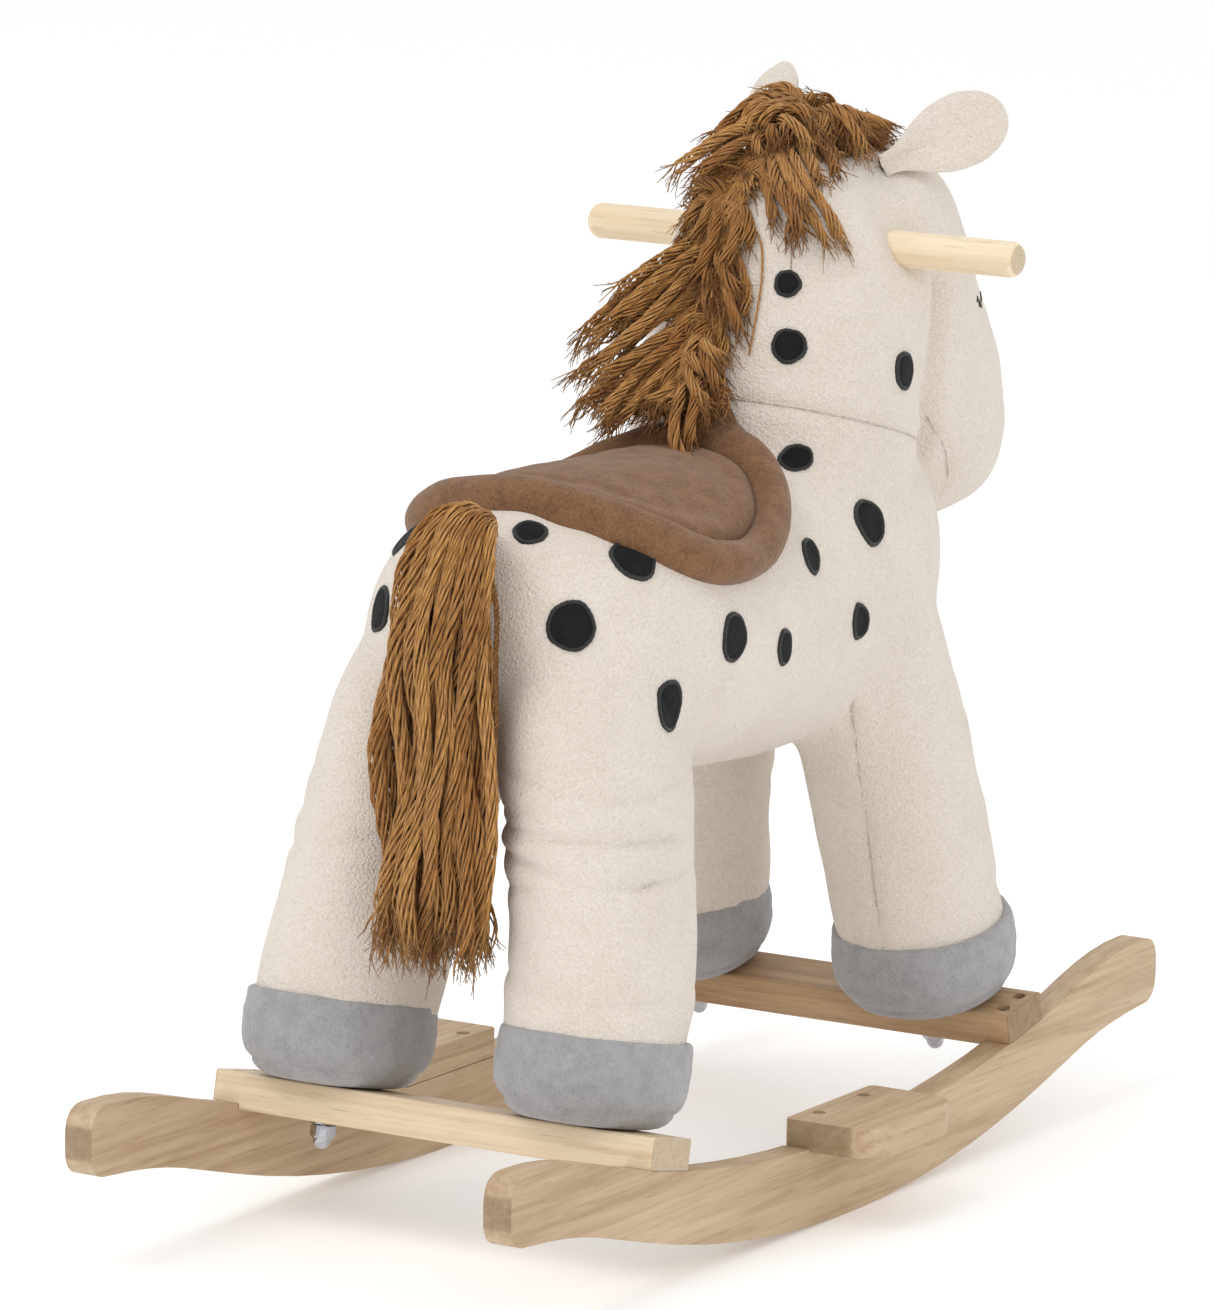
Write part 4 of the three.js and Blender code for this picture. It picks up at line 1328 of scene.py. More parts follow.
@dataclass
class Spots:
    """Black cloth spots, each edged with a raised ring of satin stitches.

    A spot is its place in millimetres, its width, its height and its lean in degrees.
    """

    finishes: Finishes
    skin: BVHTree
    ring: float = 2.7 * MM
    stitch: float = 0.75 * MM
    sides: int = 56
    right: tuple = ((-36, -99, 536, 17, 17, 0), (-43, -90, 500, 22, 22, 0),
                    (-80, -160, 480, 22, 24, 0), (-53, -82, 433, 23, 17, 10),
                    (-88, -114, 394, 27, 30, -14), (-90, -39, 384, 18, 24, -26),
                    (-98, -84, 339, 19, 23, 8), (-105, 79, 354, 25, 30, -12),
                    (-101, 12, 338, 17, 23, 6), (-98, 143, 323, 25, 31, 4),
                    (-65, 193, 373, 29, 30, 0), (-75, 143, 405, 31, 29, 20),
                    (-24, 173, 420, 21, 20, 0))
    left: tuple = ((66, 194, 369, 21, 28, 6), (67, 163, 408, 24, 28, 0), (100, 120, 345, 24, 28, 8),
                   (104, 60, 372, 23, 27, -10), (100, 15, 330, 18, 22, 0), (97, 150, 318, 22, 26, 5),
                   (92, -42, 388, 22, 26, 14), (98, -80, 340, 20, 23, -6), (88, -118, 400, 26, 29, 10),
                   (80, -160, 478, 22, 24, 0), (78, -120, 520, 18, 19, 0), (76, -170, 430, 20, 22, 5),
                   (98, -20, 322, 16, 19, 0))

    def frame_at(self, spot: Sequence[float]) -> tuple[Array, Array, Array, Array]:
        """The place on the skin nearest a spot, its normal, and its width and height directions."""
        where, normal, _, _ = self.skin.find_nearest(Vector(np.array(spot[:3]) * MM))
        out = unit(np.array(normal))
        tall = unit(Z_AXIS - out * (Z_AXIS @ out))
        wide = np.cross(tall, out)
        lean = np.radians(spot[5])
        return (np.array(where), out, wide * np.cos(lean) + tall * np.sin(lean),
                tall * np.cos(lean) - wide * np.sin(lean))

    def settled(self, spot: Sequence[float], share: Array, away: Array, lift: Array,
                turn: Array) -> Array:
        """Drops rings of places on the skin: an ellipse times share, less away, all in rows."""
        where, out, wide, tall = self.frame_at(spot)
        a, b = spot[3] / 2 * MM, spot[4] / 2 * MM
        wobble = 1 + 0.025 * np.sin(3 * turn + spot[0]) + 0.018 * np.sin(5 * turn + spot[2])
        x = (a * share - away) * np.cos(turn) * wobble
        y = (b * share - away) * np.sin(turn) * wobble
        flat = where + wide * x[..., None] + tall * y[..., None] + out * 0.022
        points = flat.reshape(-1, 3)
        lifts = np.broadcast_to(lift, x.shape).ravel()
        inward = np.broadcast_to(-out, points.shape)
        landed = settle_on(self.skin, points, inward, np.zeros(len(points)))
        far = np.linalg.norm(landed - points, axis=1)
        landed = np.where((far < 0.05)[:, None], landed, points - out * 0.022)
        return (landed + out * lifts[:, None]).reshape(*x.shape, 3)

    def patch(self, spot: Sequence[float]) -> Surface:
        """A thin closed disc: a little domed above, flat under the skin."""
        share = np.array([0.03, 0.3, 0.55, 0.75, 0.9, 1.0, 1.0, 0.5, 0.03])
        lift = np.array([1.1, 1.1, 1.05, 1.0, 0.9, 0.5, -1.2, -1.5, -1.5]) * MM
        turn = np.arange(self.sides) / self.sides * TAU
        rows, turns = np.meshgrid(share, turn, indexing="ij")
        away = np.full(rows.shape, self.ring * 0.5) * np.minimum(rows, 1)
        points = self.settled(spot, rows, away, lift[:, None], turns)
        return grid_arrays(points[::-1])

    def edging(self, spot: Sequence[float]) -> Surface:
        """A roll of stitches: half a circle across the ring's width, in turns round the spot."""
        count = int(TAU * (spot[3] + spot[4]) / 4 * MM / self.stitch)
        turn = np.arange(count) / count * TAU
        roll = np.arange(10) / 10 * TAU
        turns, rolls = np.meshgrid(turn, roll, indexing="ij")
        ragged = 0.22 * MM * np.sin(turns * 7.3 + spot[1]) * np.sin(turns * 17.0)
        away = self.ring / 2 * (1 - np.cos(rolls)) - ragged * (np.cos(rolls) > 0.3)
        lift = np.where(np.sin(rolls) > 0, 1.9 * MM, 0.8 * MM) * np.sin(rolls)
        points = self.settled(spot, np.ones_like(turns), away, lift, turns)
        verts, quads, tris, uv = grid_arrays(points, wrap_rows=True)
        return verts, quads, tris, uv * [1.0, count]

    def build(self) -> None:
        """Makes all patches as one piece and all their stitching as another."""
        spots = self.right + self.left
        patches = build_mesh("spot_patches", *join_arrays(self.patch(s) for s in spots))
        dress(patches, self.finishes.spot, Slot.SPOT, "horse")
        rings = build_mesh("spot_stitches", *join_arrays(self.edging(s) for s in spots))
        dress(rings, self.finishes.edge, Slot.THREAD, "horse")


def tube_frames(paths: Array, side: Array) -> tuple[Array, Array, Array]:
    """Heading, across and upward at each place of many paths.

    Args:
        paths: paths by places by 3.
        side: a direction for each path that it never runs along.

    Returns:
        Three arrays of the shape of paths.
    """
    heading = unit(np.gradient(paths, axis=1))
    side = np.broadcast_to(side[:, None, :], paths.shape)
    across = unit(side - heading * (side * heading).sum(-1, keepdims=True))
    return heading, across, np.cross(heading, across)


def tubes(paths: Array, radius: Array, side: Array, sides: int = 5,
          pitch: float = 0.006) -> Surface:
    """Closed round tubes along many paths of the same number of places.

    Args:
        paths: paths by places by 3.
        radius: paths by places.
        side: a direction for each path that it never runs along.
        sides: how many faces go round a tube.
        pitch: the length over which the UV's height rises by one.

    Returns:
        Places, quads, triangles and UVs of all of them.
    """
    count = len(paths)
    _, across, upward = tube_frames(paths, side)
    angle = np.arange(sides) / sides * TAU
    c, s = np.cos(angle)[:, None], np.sin(angle)[:, None]
    round_path = across[:, :, None] * c + upward[:, :, None] * s
    ring = paths[:, :, None] + radius[..., None, None] * round_path
    first = grid_arrays(ring[0])
    size = len(first[0])
    ends = np.stack([ring[:, 0].mean(axis=1), ring[:, -1].mean(axis=1)], axis=1)
    verts = np.concatenate([ring.reshape(count, -1, 3), ends], axis=1).reshape(-1, 3)
    shift = (np.arange(count) * size)[:, None, None]
    quads = (first[1][None] + shift).reshape(-1, 4)
    tris = (first[2][None] + shift).reshape(-1, 3)
    length = np.linalg.norm(np.diff(paths, axis=1), axis=-1).sum(axis=1)
    scale = (length / pitch)[:, None]
    corners = len(first[1]) * 4
    uv = np.broadcast_to(first[3], (count, *first[3].shape)).copy()
    uv[..., 1] *= scale
    quad_uv, tri_uv = uv[:, :corners].reshape(-1, 2), uv[:, corners:].reshape(-1, 2)
    return verts, quads, tris, np.vstack([quad_uv, tri_uv])


@dataclass
class Face:
    """The embroidered face: two closed eyes with lashes, and two small nostrils."""

    finishes: Finishes
    skin: BVHTree
    radius: float = 0.72 * MM
    steps: int = 24
    eye: Colour = (65.0, -290.0, 509.0)
    nostril: Colour = (30.0, -336.0, 425.0)

    def lines(self) -> list[Array]:
        """Lines of a lid and its lashes, in millimetres across and up from a centre."""
        t = np.linspace(-1, 1, self.steps)
        lid = np.stack([11 * t, 5.5 * t ** 2 - 3.0], axis=1)
        rows = [lid]
        for at in (-0.9, -0.45, 0.0):
            foot = np.array([11 * at, 5.5 * at ** 2 - 3.0])
            tip = foot + np.array([3.0 * at - 1.0, -3.4 + 1.0 * abs(at)])
            share = np.linspace(0, 1, self.steps)[:, None]
            bow = np.stack([-0.8 * np.sin(np.pi * share[:, 0]), 0 * share[:, 0]], axis=1)
            rows.append(foot + (tip - foot) * share + bow)
        return rows

    def laid(self, centre: Array, rows: list[Array], side: Side) -> tuple[Array, Array]:
        """Settles flat lines on the skin round a centre; across runs towards the nose."""
        where, normal, _, _ = self.skin.find_nearest(Vector(centre * MM))
        out = unit(np.array(normal))
        up = unit(Z_AXIS - out * out[2])
        nose = np.cross(up, out) * side.value * -1.0
        flat = np.stack([np.array(where) + nose * r[:, :1] * MM + up * r[:, 1:] * MM for r in rows])
        points = flat.reshape(-1, 3) + out * 0.02
        lifts = np.full(len(points), 0.35 * MM)
        landed = settle_on(self.skin, points, np.broadcast_to(-out, points.shape), lifts)
        return landed.reshape(flat.shape), np.broadcast_to(out, (len(rows), 3))

    def build(self) -> None:
        """Makes the eyes and nostrils as one piece of thread."""
        parts = []
        t = np.linspace(-1, 1, self.steps)
        taper = 1 - 0.55 * np.abs(t) ** 3
        bow = [np.stack([4.5 * t, 1.6 * (1 - t ** 2)], axis=1)]
        for side in Side:
            for centre, rows in ((self.eye, self.lines()), (self.nostril, bow)):
                paths, out = self.laid(np.array(centre) * [side.value, 1, 1], rows, side)
                radius = np.broadcast_to(self.radius * taper, paths.shape[:2])
                parts.append(tubes(paths, radius, out, 8, 0.9 * MM))
        piece = build_mesh("face_embroidery", *join_arrays(parts))
        dress(piece, self.finishes.thread, Slot.THREAD, "horse")


# ------------------------------------------------------------------ mane and tail


def cut_short(paths: Array, share: Array) -> Array:
    """Paths read again over only their first share, in as many places, between neighbours."""
    steps = paths.shape[-2]
    taken = share * np.linspace(0, 1, steps) * (steps - 1)
    low = np.minimum(taken.astype(int), steps - 2)[..., None]
    part = taken[..., None] - low
    here = np.take_along_axis(paths, low, axis=-2)
    return here * (1 - part) + np.take_along_axis(paths, low + 1, axis=-2) * part


@dataclass
class YarnMaker:
    """Turns the middle lines of cords into loosely wound yarns with frayed ends."""

    yarns: int = 11
    yarn_radius: float = 0.92 * MM
    cord_radius: float = 3.0 * MM
    turn_length: float = 50 * MM
    threads: int = 2
    sides: int = 4
    core: int = 2
    thread_steps: int = 6
    thread_sides: int = 3
    thread_radius: float = 0.42 * MM

    def wound(self, cords: Array, side: Array, rng: np.random.Generator, size: Array) -> tuple:
        """Yarn paths round each cord: a helix whose radius opens towards the frayed end.

        Args:
            cords: cords by places by 3.
            side: a direction for each cord that it never runs along.
            rng: where the small differences come from.
            size: how thick each cord is, 1 for the usual.

        Returns:
            Yarn paths, their radii and their side directions.
        """
        count, steps = cords.shape[:2]
        _, across, upward = tube_frames(cords, side)
        gaps = np.linalg.norm(np.diff(cords, axis=1), axis=-1)
        run = np.concatenate([np.zeros((count, 1)), np.cumsum(gaps, axis=1)], axis=1)
        share = run / run[:, -1:]
        j = np.arange(self.yarns)
        outer = self.yarns - self.core
        start = (j / outer * TAU)[None, :, None] + rng.uniform(0, 0.3, (count, self.yarns, 1))
        ring = np.where(j < outer, 1.0, 0.25)[None, :, None]
        ring = ring * rng.uniform(0.82, 1.12, (count, self.yarns, 1))
        pace = rng.uniform(0.85, 1.2, (count, 1, 1))
        angle = start + pace * run[:, None, :] / self.turn_length * TAU
        angle = angle + 0.15 * np.sin(run[:, None, :] / 0.021 + start * 7)
        open_end = smoothstep(0.82, 1.0, share)[:, None, :]
        splay = 1 + open_end * rng.uniform(0.0, 0.9, (count, self.yarns, 1))
        breath = 1 + 0.08 * np.sin(run[:, None, :] / 0.017 + 9 * start[:, :1])
        r = self.cord_radius * size[:, None, None] * ring * splay * breath
        paths = (cords[:, None] + across[:, None] * (r * np.cos(angle))[..., None]
                 + upward[:, None] * (r * np.sin(angle))[..., None])
        cut = rng.uniform(0.93, 1.0, (count, self.yarns, 1))
        paths = cut_short(paths, cut)
        radius = self.yarn_radius * rng.uniform(0.8, 1.15, (count, self.yarns, 1))
        radius = radius * (1 - 0.35 * smoothstep(0.9, 1.0, np.linspace(0, 1, steps)))[None, None]
        sides = np.broadcast_to(side[:, None], (count, self.yarns, 3))
        return (paths.reshape(-1, steps, 3), radius.reshape(-1, steps), sides.reshape(-1, 3))

    def frayed(self, paths: Array, side: Array, rng: np.random.Generator) -> tuple[Array, Array, Array]:
        """Thin threads that splay from each yarn's tip: along its heading, bent aside and down."""
        tip = np.repeat(paths[:, -1], self.threads, axis=0)
        heading = np.repeat(unit(paths[:, -1] - paths[:, -3]), self.threads, axis=0)
        sides = np.repeat(side, self.threads, axis=0)
        t = np.linspace(0, 1, self.thread_steps)[None, :, None]
        long = rng.uniform(4, 12, (len(tip), 1, 1)) * MM
        aside = rng.normal(0, 1, (len(tip), 3)) * 0.24
        aside[:, 2] -= 0.25
        start = tip - heading * 1.5 * MM
        out = start[:, None] + long * t * heading[:, None] + long * t ** 1.6 * aside[:, None]
        radius = np.broadcast_to(self.thread_radius * (1 - 0.45 * t[..., 0]), out.shape[:2])
        return out, radius, sides

    def pieces(self, name: str, cords: Array, side: Array, seed: int, parts: int,
               size: Array | None = None) -> list[bpy.types.Object]:
        """Builds cords as pieces of yarn.

        Args:
            name: the pieces' name, numbered where there are several.
            cords: cords by places by 3.
            side: a direction for each cord that it never runs along.
            seed: fixes every random draw.
            parts: how many pieces share the cords.
            size: how thick each cord is.

        Returns:
            The pieces.
        """
        rng = np.random.default_rng(seed)
        size = np.ones(len(cords)) if size is None else size
        made = []
        for k, held in enumerate(np.array_split(np.arange(len(cords)), parts)):
            paths, radius, sides = self.wound(cords[held], side[held], rng, size[held])
            thin, thin_radius, thin_sides = self.frayed(paths, sides, rng)
            arrays = join_arrays([tubes(paths, radius, sides, self.sides, 0.011),
                                  tubes(thin, thin_radius, thin_sides, self.thread_sides)])
            obj = build_mesh(f"{name}_{k + 1}", *arrays)
            per_cord = np.repeat(rng.normal(0.5, 0.25, len(held)), self.yarns)
            tone = per_cord + rng.normal(0, 0.13, len(paths))
            thick = paths.shape[1] * self.sides + 2
            thin_count = self.thread_steps * self.thread_sides + 2
            tips = np.repeat(tone, self.threads) + 0.12
            tones = np.concatenate([np.repeat(tone, thick), np.repeat(tips, thin_count)])
            put_number(obj, "tone", np.clip(tones, 0, 1))
            made.append(obj)
        return made


def bezier(corners: Array, steps: int) -> Array:
    """Cubic curves through each row of four corner places: rows by steps by 3."""
    t = np.linspace(0, 1, steps)[None, :, None]
    p = [corners[:, k, None, :] for k in range(4)]
    return (p[0] * (1 - t) ** 3 + p[1] * 3 * t * (1 - t) ** 2
            + p[2] * 3 * t ** 2 * (1 - t) + p[3] * t ** 3)


@dataclass
class Mane:
    """Messy locks of yarn from between the ears down the neck to the saddle.

    Stations are in millimetres: behind the chest, above the deck, half width, half depth. A tuft
    is the share of the way down where it starts, the place of its end, and its height.
    """

    finishes: Finishes
    skin: BVHTree
    locks: int = 58
    cords: int = 4
    steps: int = 22
    loose: int = 18
    offset: float = 12.0
    chest: float = -257.0
    deck: float = 337.0
    stations: tuple = ((-8, 248, 24, 15), (26, 276, 38, 27), (66, 286, 43, 31), (106, 268, 42, 27),
                       (139, 231, 42, 22), (161, 187, 52, 24), (183, 147, 62, 24), (197, 127, 58, 18))
    tufts: tuple = ((0.40, -57, -112, 546, 12), (0.43, -44, -104, 556, 10), (0.34, 40, -92, 590, 16),
                    (0.60, 74, -40, 492, 12), (0.66, 72, -34, 478, 10), (0.80, 64, -20, 446, 12),
                    (0.86, 52, -14, 448, 10), (0.74, 72, -28, 458, 12), (0.90, 30, -20, 450, 8),
                    (0.92, 10, -34, 452, 8), (0.84, -14, -42, 460, 8), (0.12, 28, -196, 630, 20),
                    (0.20, 32, -160, 622, 18), (0.05, -22, -224, 606, 26), (0.16, -30, -176, 604, 22),
                    (0.30, -42, -138, 584, 16))

    def crest(self, at: Array) -> tuple[Array, Array, Array, Array]:
        """The mane's middle line, the way out from the neck, and its half width and depth."""
        rows = np.array(self.stations, float)
        gaps = np.linalg.norm(np.diff(rows[:, :2], axis=0), axis=1)
        knots = np.concatenate([[0], np.cumsum(gaps)]) / gaps.sum()
        behind, above, a, b = smooth_curve(knots, rows, at).T
        more = smooth_curve(knots, rows[:, :2], np.clip(at + 0.01, 0, 1))
        less = smooth_curve(knots, rows[:, :2], np.clip(at - 0.01, 0, 1))
        run = unit(more - less)
        out = np.stack([np.zeros_like(a), -run[:, 1], run[:, 0]], axis=1)
        middle = np.stack([np.full_like(a, self.offset), self.chest + behind, self.deck + above], 1)
        return middle, out, a, b

    def leans(self, at: Array, rng: np.random.Generator) -> Array:
        """How far to the left (1) or right (-1) each lock falls; low on the neck most go left."""
        low = smoothstep(0.25, 0.5, at)
        lean = rng.uniform(-1.0, 1.0, len(at))
        return np.where(lean < 0, lean * (1 - 0.62 * low), lean)

    def locks_paths(self, rng: np.random.Generator) -> tuple[Array, Array]:
        """Each lock rises from the neck, leans to one side and falls, clear of the skin."""
        at = (np.arange(self.locks) + rng.uniform(0, 1, self.locks)) / self.locks
        at = np.clip(0.97 * at, 0, 1)
        middle, out, a, b = self.crest(at)
        lean = self.leans(at, rng)
        across = np.zeros_like(middle)
        across[:, 0] = lean * a
        down = np.array([0, 0, -1.0])
        run = np.stack([np.zeros_like(a), out[:, 2], -out[:, 1]], axis=1)
        layer = rng.uniform(0.0, 1.0, self.locks)[:, None]
        depth = b[:, None]
        low = smoothstep(0.3, 0.7, at)[:, None]
        fall = rng.uniform(22, 54, self.locks)[:, None]
        drift = (rng.normal(0, 14, self.locks))[:, None] * run
        base = middle - out * depth * 0.95 + across * 0.12
        rise = middle + out * depth * (0.35 + 0.75 * layer) + across * 0.25 - run * 6
        turn = middle + out * depth * (0.15 + 0.8 * layer) + across * 0.85 + run * 8 + drift
        end = (middle + out * depth * (0.75 * layer - 0.15) + across * 1.15 + down * fall * 0.6
               + run * fall * (0.25 + 0.2 * low) + drift * 1.8)
        paths = bezier(np.stack([base, rise, turn, end], axis=1) * MM, self.steps)
        chosen = np.array(self.tufts, float)
        middle, away, _, b = self.crest(chosen[:, 0])
        foot = middle - away * b[:, None] * 0.9
        top = middle + away * chosen[:, 4:]
        end = chosen[:, 1:4]
        turn = top * 0.35 + end * 0.65 + away * chosen[:, 4:] * 0.5
        named = bezier(np.stack([foot, top, turn, end], axis=1) * MM, self.steps)
        paths, out = np.concatenate([paths, named]), np.concatenate([out, away])
        side = unit(np.cross(paths[:, -1] - paths[:, 0], out + 1e-3))
        t = np.linspace(0, 1, self.steps)[None, :, None]
        phase = rng.uniform(0, TAU, (len(paths), 1, 3))
        paths = paths + 4.6 * MM * t * np.sin(t * rng.uniform(4, 9, (len(paths), 1, 3)) + phase)
        return paths, side

    def paths(self, rng: np.random.Generator) -> tuple[Array, Array]:
        """Cords of each lock: side by side round its middle, parting a little at the end."""
        locks, side = self.locks_paths(rng)
        _, across, upward = tube_frames(locks, side)
        count = len(locks)
        angle = (np.arange(self.cords) / self.cords * TAU)[None] + rng.uniform(0, TAU, (count, 1))
        wide = rng.uniform(5.5, 9.5, (count, self.cords)) * MM
        t = np.linspace(0, 1, self.steps)
        spread = (0.55 + 0.45 * np.sin(np.pi * t * 0.75) + 0.35 * t ** 3)[None, None, :]
        turn = angle[..., None] + t * rng.uniform(-2.6, 2.6, (count, 1, 1))
        x = (wide[..., None] * spread * np.cos(turn))[..., None]
        y = (0.6 * wide[..., None] * spread * np.sin(turn))[..., None]
        cords = locks[:, None] + across[:, None] * x + upward[:, None] * y
        cut = rng.uniform(0.66, 1.0, (count, self.cords, 1))
        cords = cut_short(cords, cut).reshape(-1, self.steps, 3)
        clear = keep_outside(self.skin, cords[:, 3:].reshape(-1, 3), 3.8 * MM)
        cords[:, 3:] = clear.reshape(len(cords), -1, 3)
        for _ in range(2):
            cords[:, 1:-1] = (cords[:, :-2] + 2 * cords[:, 1:-1] + cords[:, 2:]) / 4
        return cords, np.repeat(side, self.cords, axis=0)

    def strays(self, rng: np.random.Generator) -> tuple[Array, Array]:
        """Single threads that have worked loose, one of them long, on the horse's right."""
        count = self.loose
        at = rng.uniform(0.05, 0.97, count)
        middle, out, a, b = self.crest(at)
        lean = rng.uniform(-0.2, 1, count)[:, None] * np.array([1.0, 0, 0]) * a[:, None]
        wild = rng.normal(0, 6, (count, 4, 3))
        corners = np.stack([middle, middle + out * b[:, None] * 1.1 + lean * 0.5,
                            middle + out * b[:, None] * 0.9 + lean * 1.05,
                            middle + lean * 1.15 + [0, 0, -34.0]], axis=1) + wild
        corners[0] = [(-12, -112, 560), (-24, -96, 548), (-22, -88, 520), (-20, -86, 492)]
        paths = bezier(corners * MM, self.steps)
        clear = keep_outside(self.skin, paths.reshape(-1, 3), 1.6 * MM)
        paths = clear.reshape(paths.shape)
        return paths, unit(np.cross(paths[:, -1] - paths[:, 0], out + 1e-3))

    def build(self) -> None:
        """Makes the locks and the stray threads."""
        rng = np.random.default_rng(14)
        paths, side = self.paths(rng)
        maker = YarnMaker()
        size = rng.uniform(0.8, 1.2, len(paths))
        made = maker.pieces("mane_locks", paths, side, 15, 5, size)
        thin, thin_side = self.strays(rng)
        radius = np.full(thin.shape[:2], 0.7 * MM)
        stray = build_mesh("mane_strays", *tubes(thin, radius, thin_side))
        put_number(stray, "tone", np.full(len(stray.data.vertices), 0.6))
        dress(made[0], self.finishes.yarn, Slot.YARN, "horse", "mane")
        for piece in made[1:] + [stray]:
            dress(piece, self.finishes.yarn, Slot.YARN, "horse")


@dataclass
class Tail:
    """A bundle of yarn cords folded over at the rump, which swings on its seam.

    Stations are in millimetres: past the rump, above the deck, half width, half depth.
    """

    finishes: Finishes
    cords: int = 40
    steps: int = 64
    offset: float = -5.0
    rump: float = 214.0
    deck: float = 337.0
    stations: tuple = ((-16, 82, 8, 4), (-11, 91, 11, 7), (1, 92, 18, 10), (15, 73, 27, 14),
                       (23, 43, 32, 17), (26, -17, 35, 19), (27, -97, 36, 20), (28, -165, 37, 21))

    def paths(self, rng: np.random.Generator) -> tuple[Array, Array]:
        """Cords keep their own place in an oval that is carried over the fold and down."""
        rows = np.array(self.stations, float)
        gaps = np.linalg.norm(np.diff(rows[:, :2], axis=0), axis=1)
        knots = np.concatenate([[0], np.cumsum(gaps)])
        order = np.arange(self.cords)
        out = np.sqrt((order + 0.5) / self.cords)
        turn = order * GOLDEN_TURN
        u, v = out * np.cos(turn), out * np.sin(turn)
        end = knots[-1] * rng.uniform(0.94, 1.0, self.cords)
        end = end * (1 - 0.05 * rng.uniform(0, 1, self.cords) ** 3)
        along = np.linspace(0, 1, self.steps)[None, :] * end[:, None]
        past, above, a, b = smooth_curve(knots, rows, along).T.reshape(4, *along.shape)
        ahead = smooth_curve(knots, rows[:, :2], along + 1.0).reshape(*along.shape, 2)
        behind = smooth_curve(knots, rows[:, :2], along - 1.0).reshape(*along.shape, 2)
        run = unit(ahead - behind)
        heading = np.stack([np.zeros_like(a), run[..., 0], run[..., 1]], axis=-1)
        upward = np.cross(heading, X_AXIS)
        middle = np.stack([np.full_like(a, self.offset), self.rump + past, self.deck + above], -1)
        weave = smoothstep(30, 90, along)
        swing = rng.uniform(0, TAU, (self.cords, 2, 1))
        pace = rng.uniform(34, 62, (self.cords, 2, 1))
        du = weave * 0.12 * np.sin(along / pace[:, 0] * 2 + swing[:, 0])
        dv = weave * 0.18 * np.sin(along / pace[:, 1] * 2 + swing[:, 1])
        paths = (middle + X_AXIS * ((u[:, None] + du) * a)[..., None]
                 + upward * ((v[:, None] + dv) * b)[..., None])
        return paths * MM, np.broadcast_to(X_AXIS, (self.cords, 3)).copy()

    def braid(self) -> tuple[Array, Array]:
        """One thinner, darker cord that hangs at the right edge."""
        z = np.linspace(405, 250, self.steps)
        drop = (405 - z) / 155
        x = self.offset - 30 - 8 * np.minimum(drop * 3, 1) + 1.2 * np.sin(z / 9)
        y = self.rump + 17 + 9 * np.minimum(drop * 2, 1)
        return np.stack([x, y, z], axis=1)[None] * MM, X_AXIS[None]

    def build(self) -> None:
        """Makes the cords and the darker cord."""
        rng = np.random.default_rng(41)
        paths, side = self.paths(rng)
        size = rng.uniform(0.85, 1.2, self.cords)
        maker = YarnMaker(yarns=12, yarn_radius=0.98 * MM, cord_radius=3.7 * MM, turn_length=80 * MM)
        made = maker.pieces("tail_cords", paths, side, 42, 4, size)
        dress(made[0], self.finishes.yarn, Slot.YARN, "tail", "tail")
        for piece in made[1:]:
            dress(piece, self.finishes.yarn, Slot.YARN, "tail")
        path, way = self.braid()
        maker = YarnMaker(yarns=5, yarn_radius=0.9 * MM, cord_radius=1.4 * MM, turn_length=11 * MM)
        for piece in maker.pieces("tail_dark_cord", path, way, 43, 1):
            dress(piece, self.finishes.cord, Slot.YARN, "tail")


# ------------------------------------------------------------------ studio


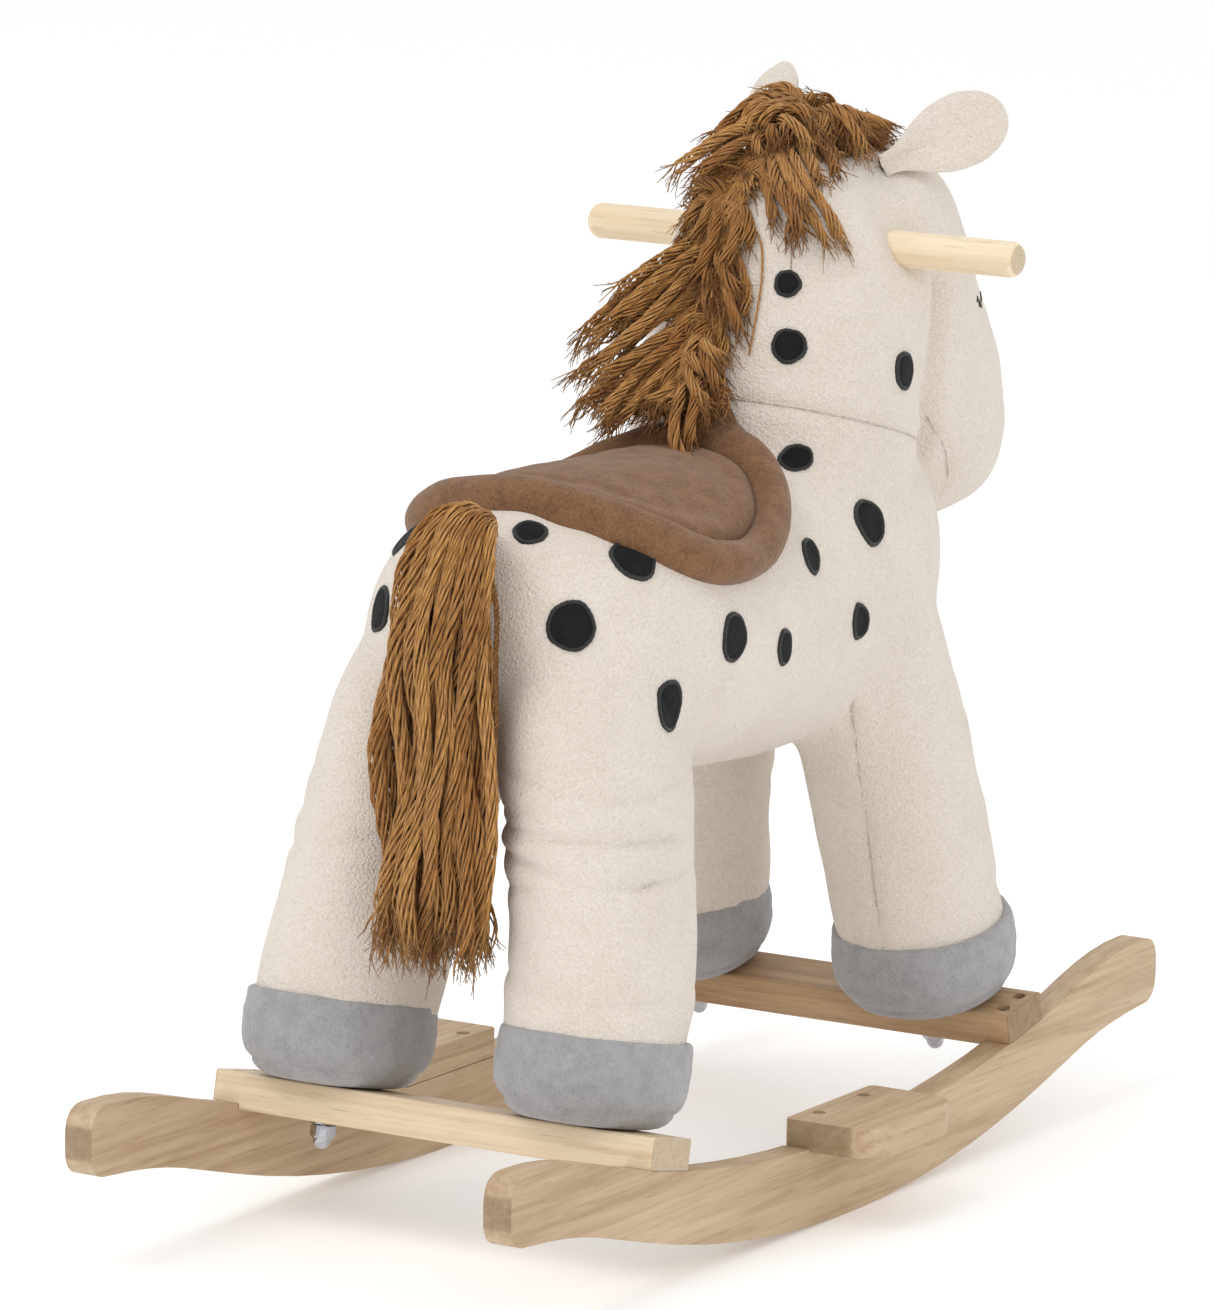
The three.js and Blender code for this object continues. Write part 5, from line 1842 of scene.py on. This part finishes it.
@dataclass
class Studio:
    """A pale floor and sky, soft lamps and the camera."""

    azimuth: float = 3.6811
    rise: float = 0.1827
    roll: float = 0.0176
    distance: float = 4.910
    target: Colour = (0.0, 0.0443, 0.3267)
    lens: float = 227.7
    sensor: float = 36.0
    sky: float = 0.84
    glow: float = 0.2
    half: float = 40.0
    lit_height: float = 0.3
    floor_drop: float = 0.3 * MM

    def camera(self) -> None:
        """A long lens that looks at the horse from behind its right side."""
        a, e = self.azimuth, self.rise
        back = Vector((np.sin(a) * np.cos(e), -np.cos(a) * np.cos(e), np.sin(e)))
        right = (-back).cross(Vector((0, 0, 1))).normalized()
        up = right.cross(-back)
        c, s = np.cos(self.roll), np.sin(self.roll)
        right, up = right * c + up * s, up * c - right * s
        data = bpy.data.cameras.new("camera")
        data.lens = self.lens
        data.sensor_width = self.sensor
        data.sensor_fit = "AUTO"
        data.clip_end = 50.0
        cam = bpy.data.objects.new("camera", data)
        bpy.context.scene.collection.objects.link(cam)
        turn = Matrix((right, up, back)).transposed().to_4x4()
        cam.matrix_world = Matrix.Translation(Vector(self.target) + back * self.distance) @ turn
        bpy.context.scene.camera = cam

    def lamp(self, name: str, spot: Colour, size: float, power: float, colour: Colour) -> None:
        """One square soft lamp that faces the horse."""
        data = bpy.data.lights.new(name, "AREA")
        data.size = size
        data.energy = power
        data.color = colour
        obj = bpy.data.objects.new(name, data)
        bpy.context.scene.collection.objects.link(obj)
        way = Vector(spot) - Vector((0, 0, self.lit_height))
        turn = way.to_track_quat("Z", "Y").to_matrix().to_4x4()
        obj.matrix_world = Matrix.Translation(spot) @ turn

    def build(self) -> None:
        """Sets up the floor, sky, lamps and camera."""
        bpy.context.scene.view_settings.view_transform = "Standard"
        world = bpy.data.worlds.new("sky")
        world.use_nodes = True
        sky = world.node_tree.nodes["Background"]
        sky.inputs["Color"].default_value = (1.0, 1.0, 1.0, 1.0)
        sky.inputs["Strength"].default_value = self.sky
        bpy.context.scene.world = world
        corners = np.array([(-1, -1, 0), (1, -1, 0), (1, 1, 0), (-1, 1, 0)]) * self.half
        floor = build_mesh("floor", corners - self.floor_drop * Z_AXIS, np.array([[0, 1, 2, 3]]))
        paint = Paint("floor")
        tone = paint.noise(3.0, 2.0)
        shade = paint.mix(tone * 0.2, (0.93, 0.93, 0.93), (0.90, 0.90, 0.90))
        floor.data.materials.append(paint.finish(shade, 0.9, Emission_Color=(1.0, 1.0, 1.0),
                                                 Emission_Strength=self.glow))
        self.lamp("key", (0.6, 2.2, 3.6), 2.0, 38.0, (1.0, 0.99, 0.97))
        self.lamp("fill", (-3.4, 1.0, 2.2), 2.4, 9.0, (1.0, 1.0, 1.0))
        self.lamp("rim", (-0.8, -3.2, 2.2), 2.0, 10.0, (1.0, 1.0, 1.0))
        self.camera()


def main() -> None:
    """Builds the horse, one sub-assembly after another."""
    logging.basicConfig(level=logging.INFO, format="%(name)s %(message)s")
    finishes = Finishes()
    RockerBase(finishes).build()
    Hardware(finishes).build()
    Handle(finishes).build()
    body = PlushBody(finishes)
    skin = tree_of(body.build())
    Hooves(finishes).build()
    Ears(finishes).build()
    Saddle(finishes, skin, body).build()
    Spots(finishes, skin).build()
    Face(finishes, skin).build()
    Mane(finishes, skin).build()
    Tail(finishes).build()
    Studio().build()


if __name__ == "__main__":
    main()
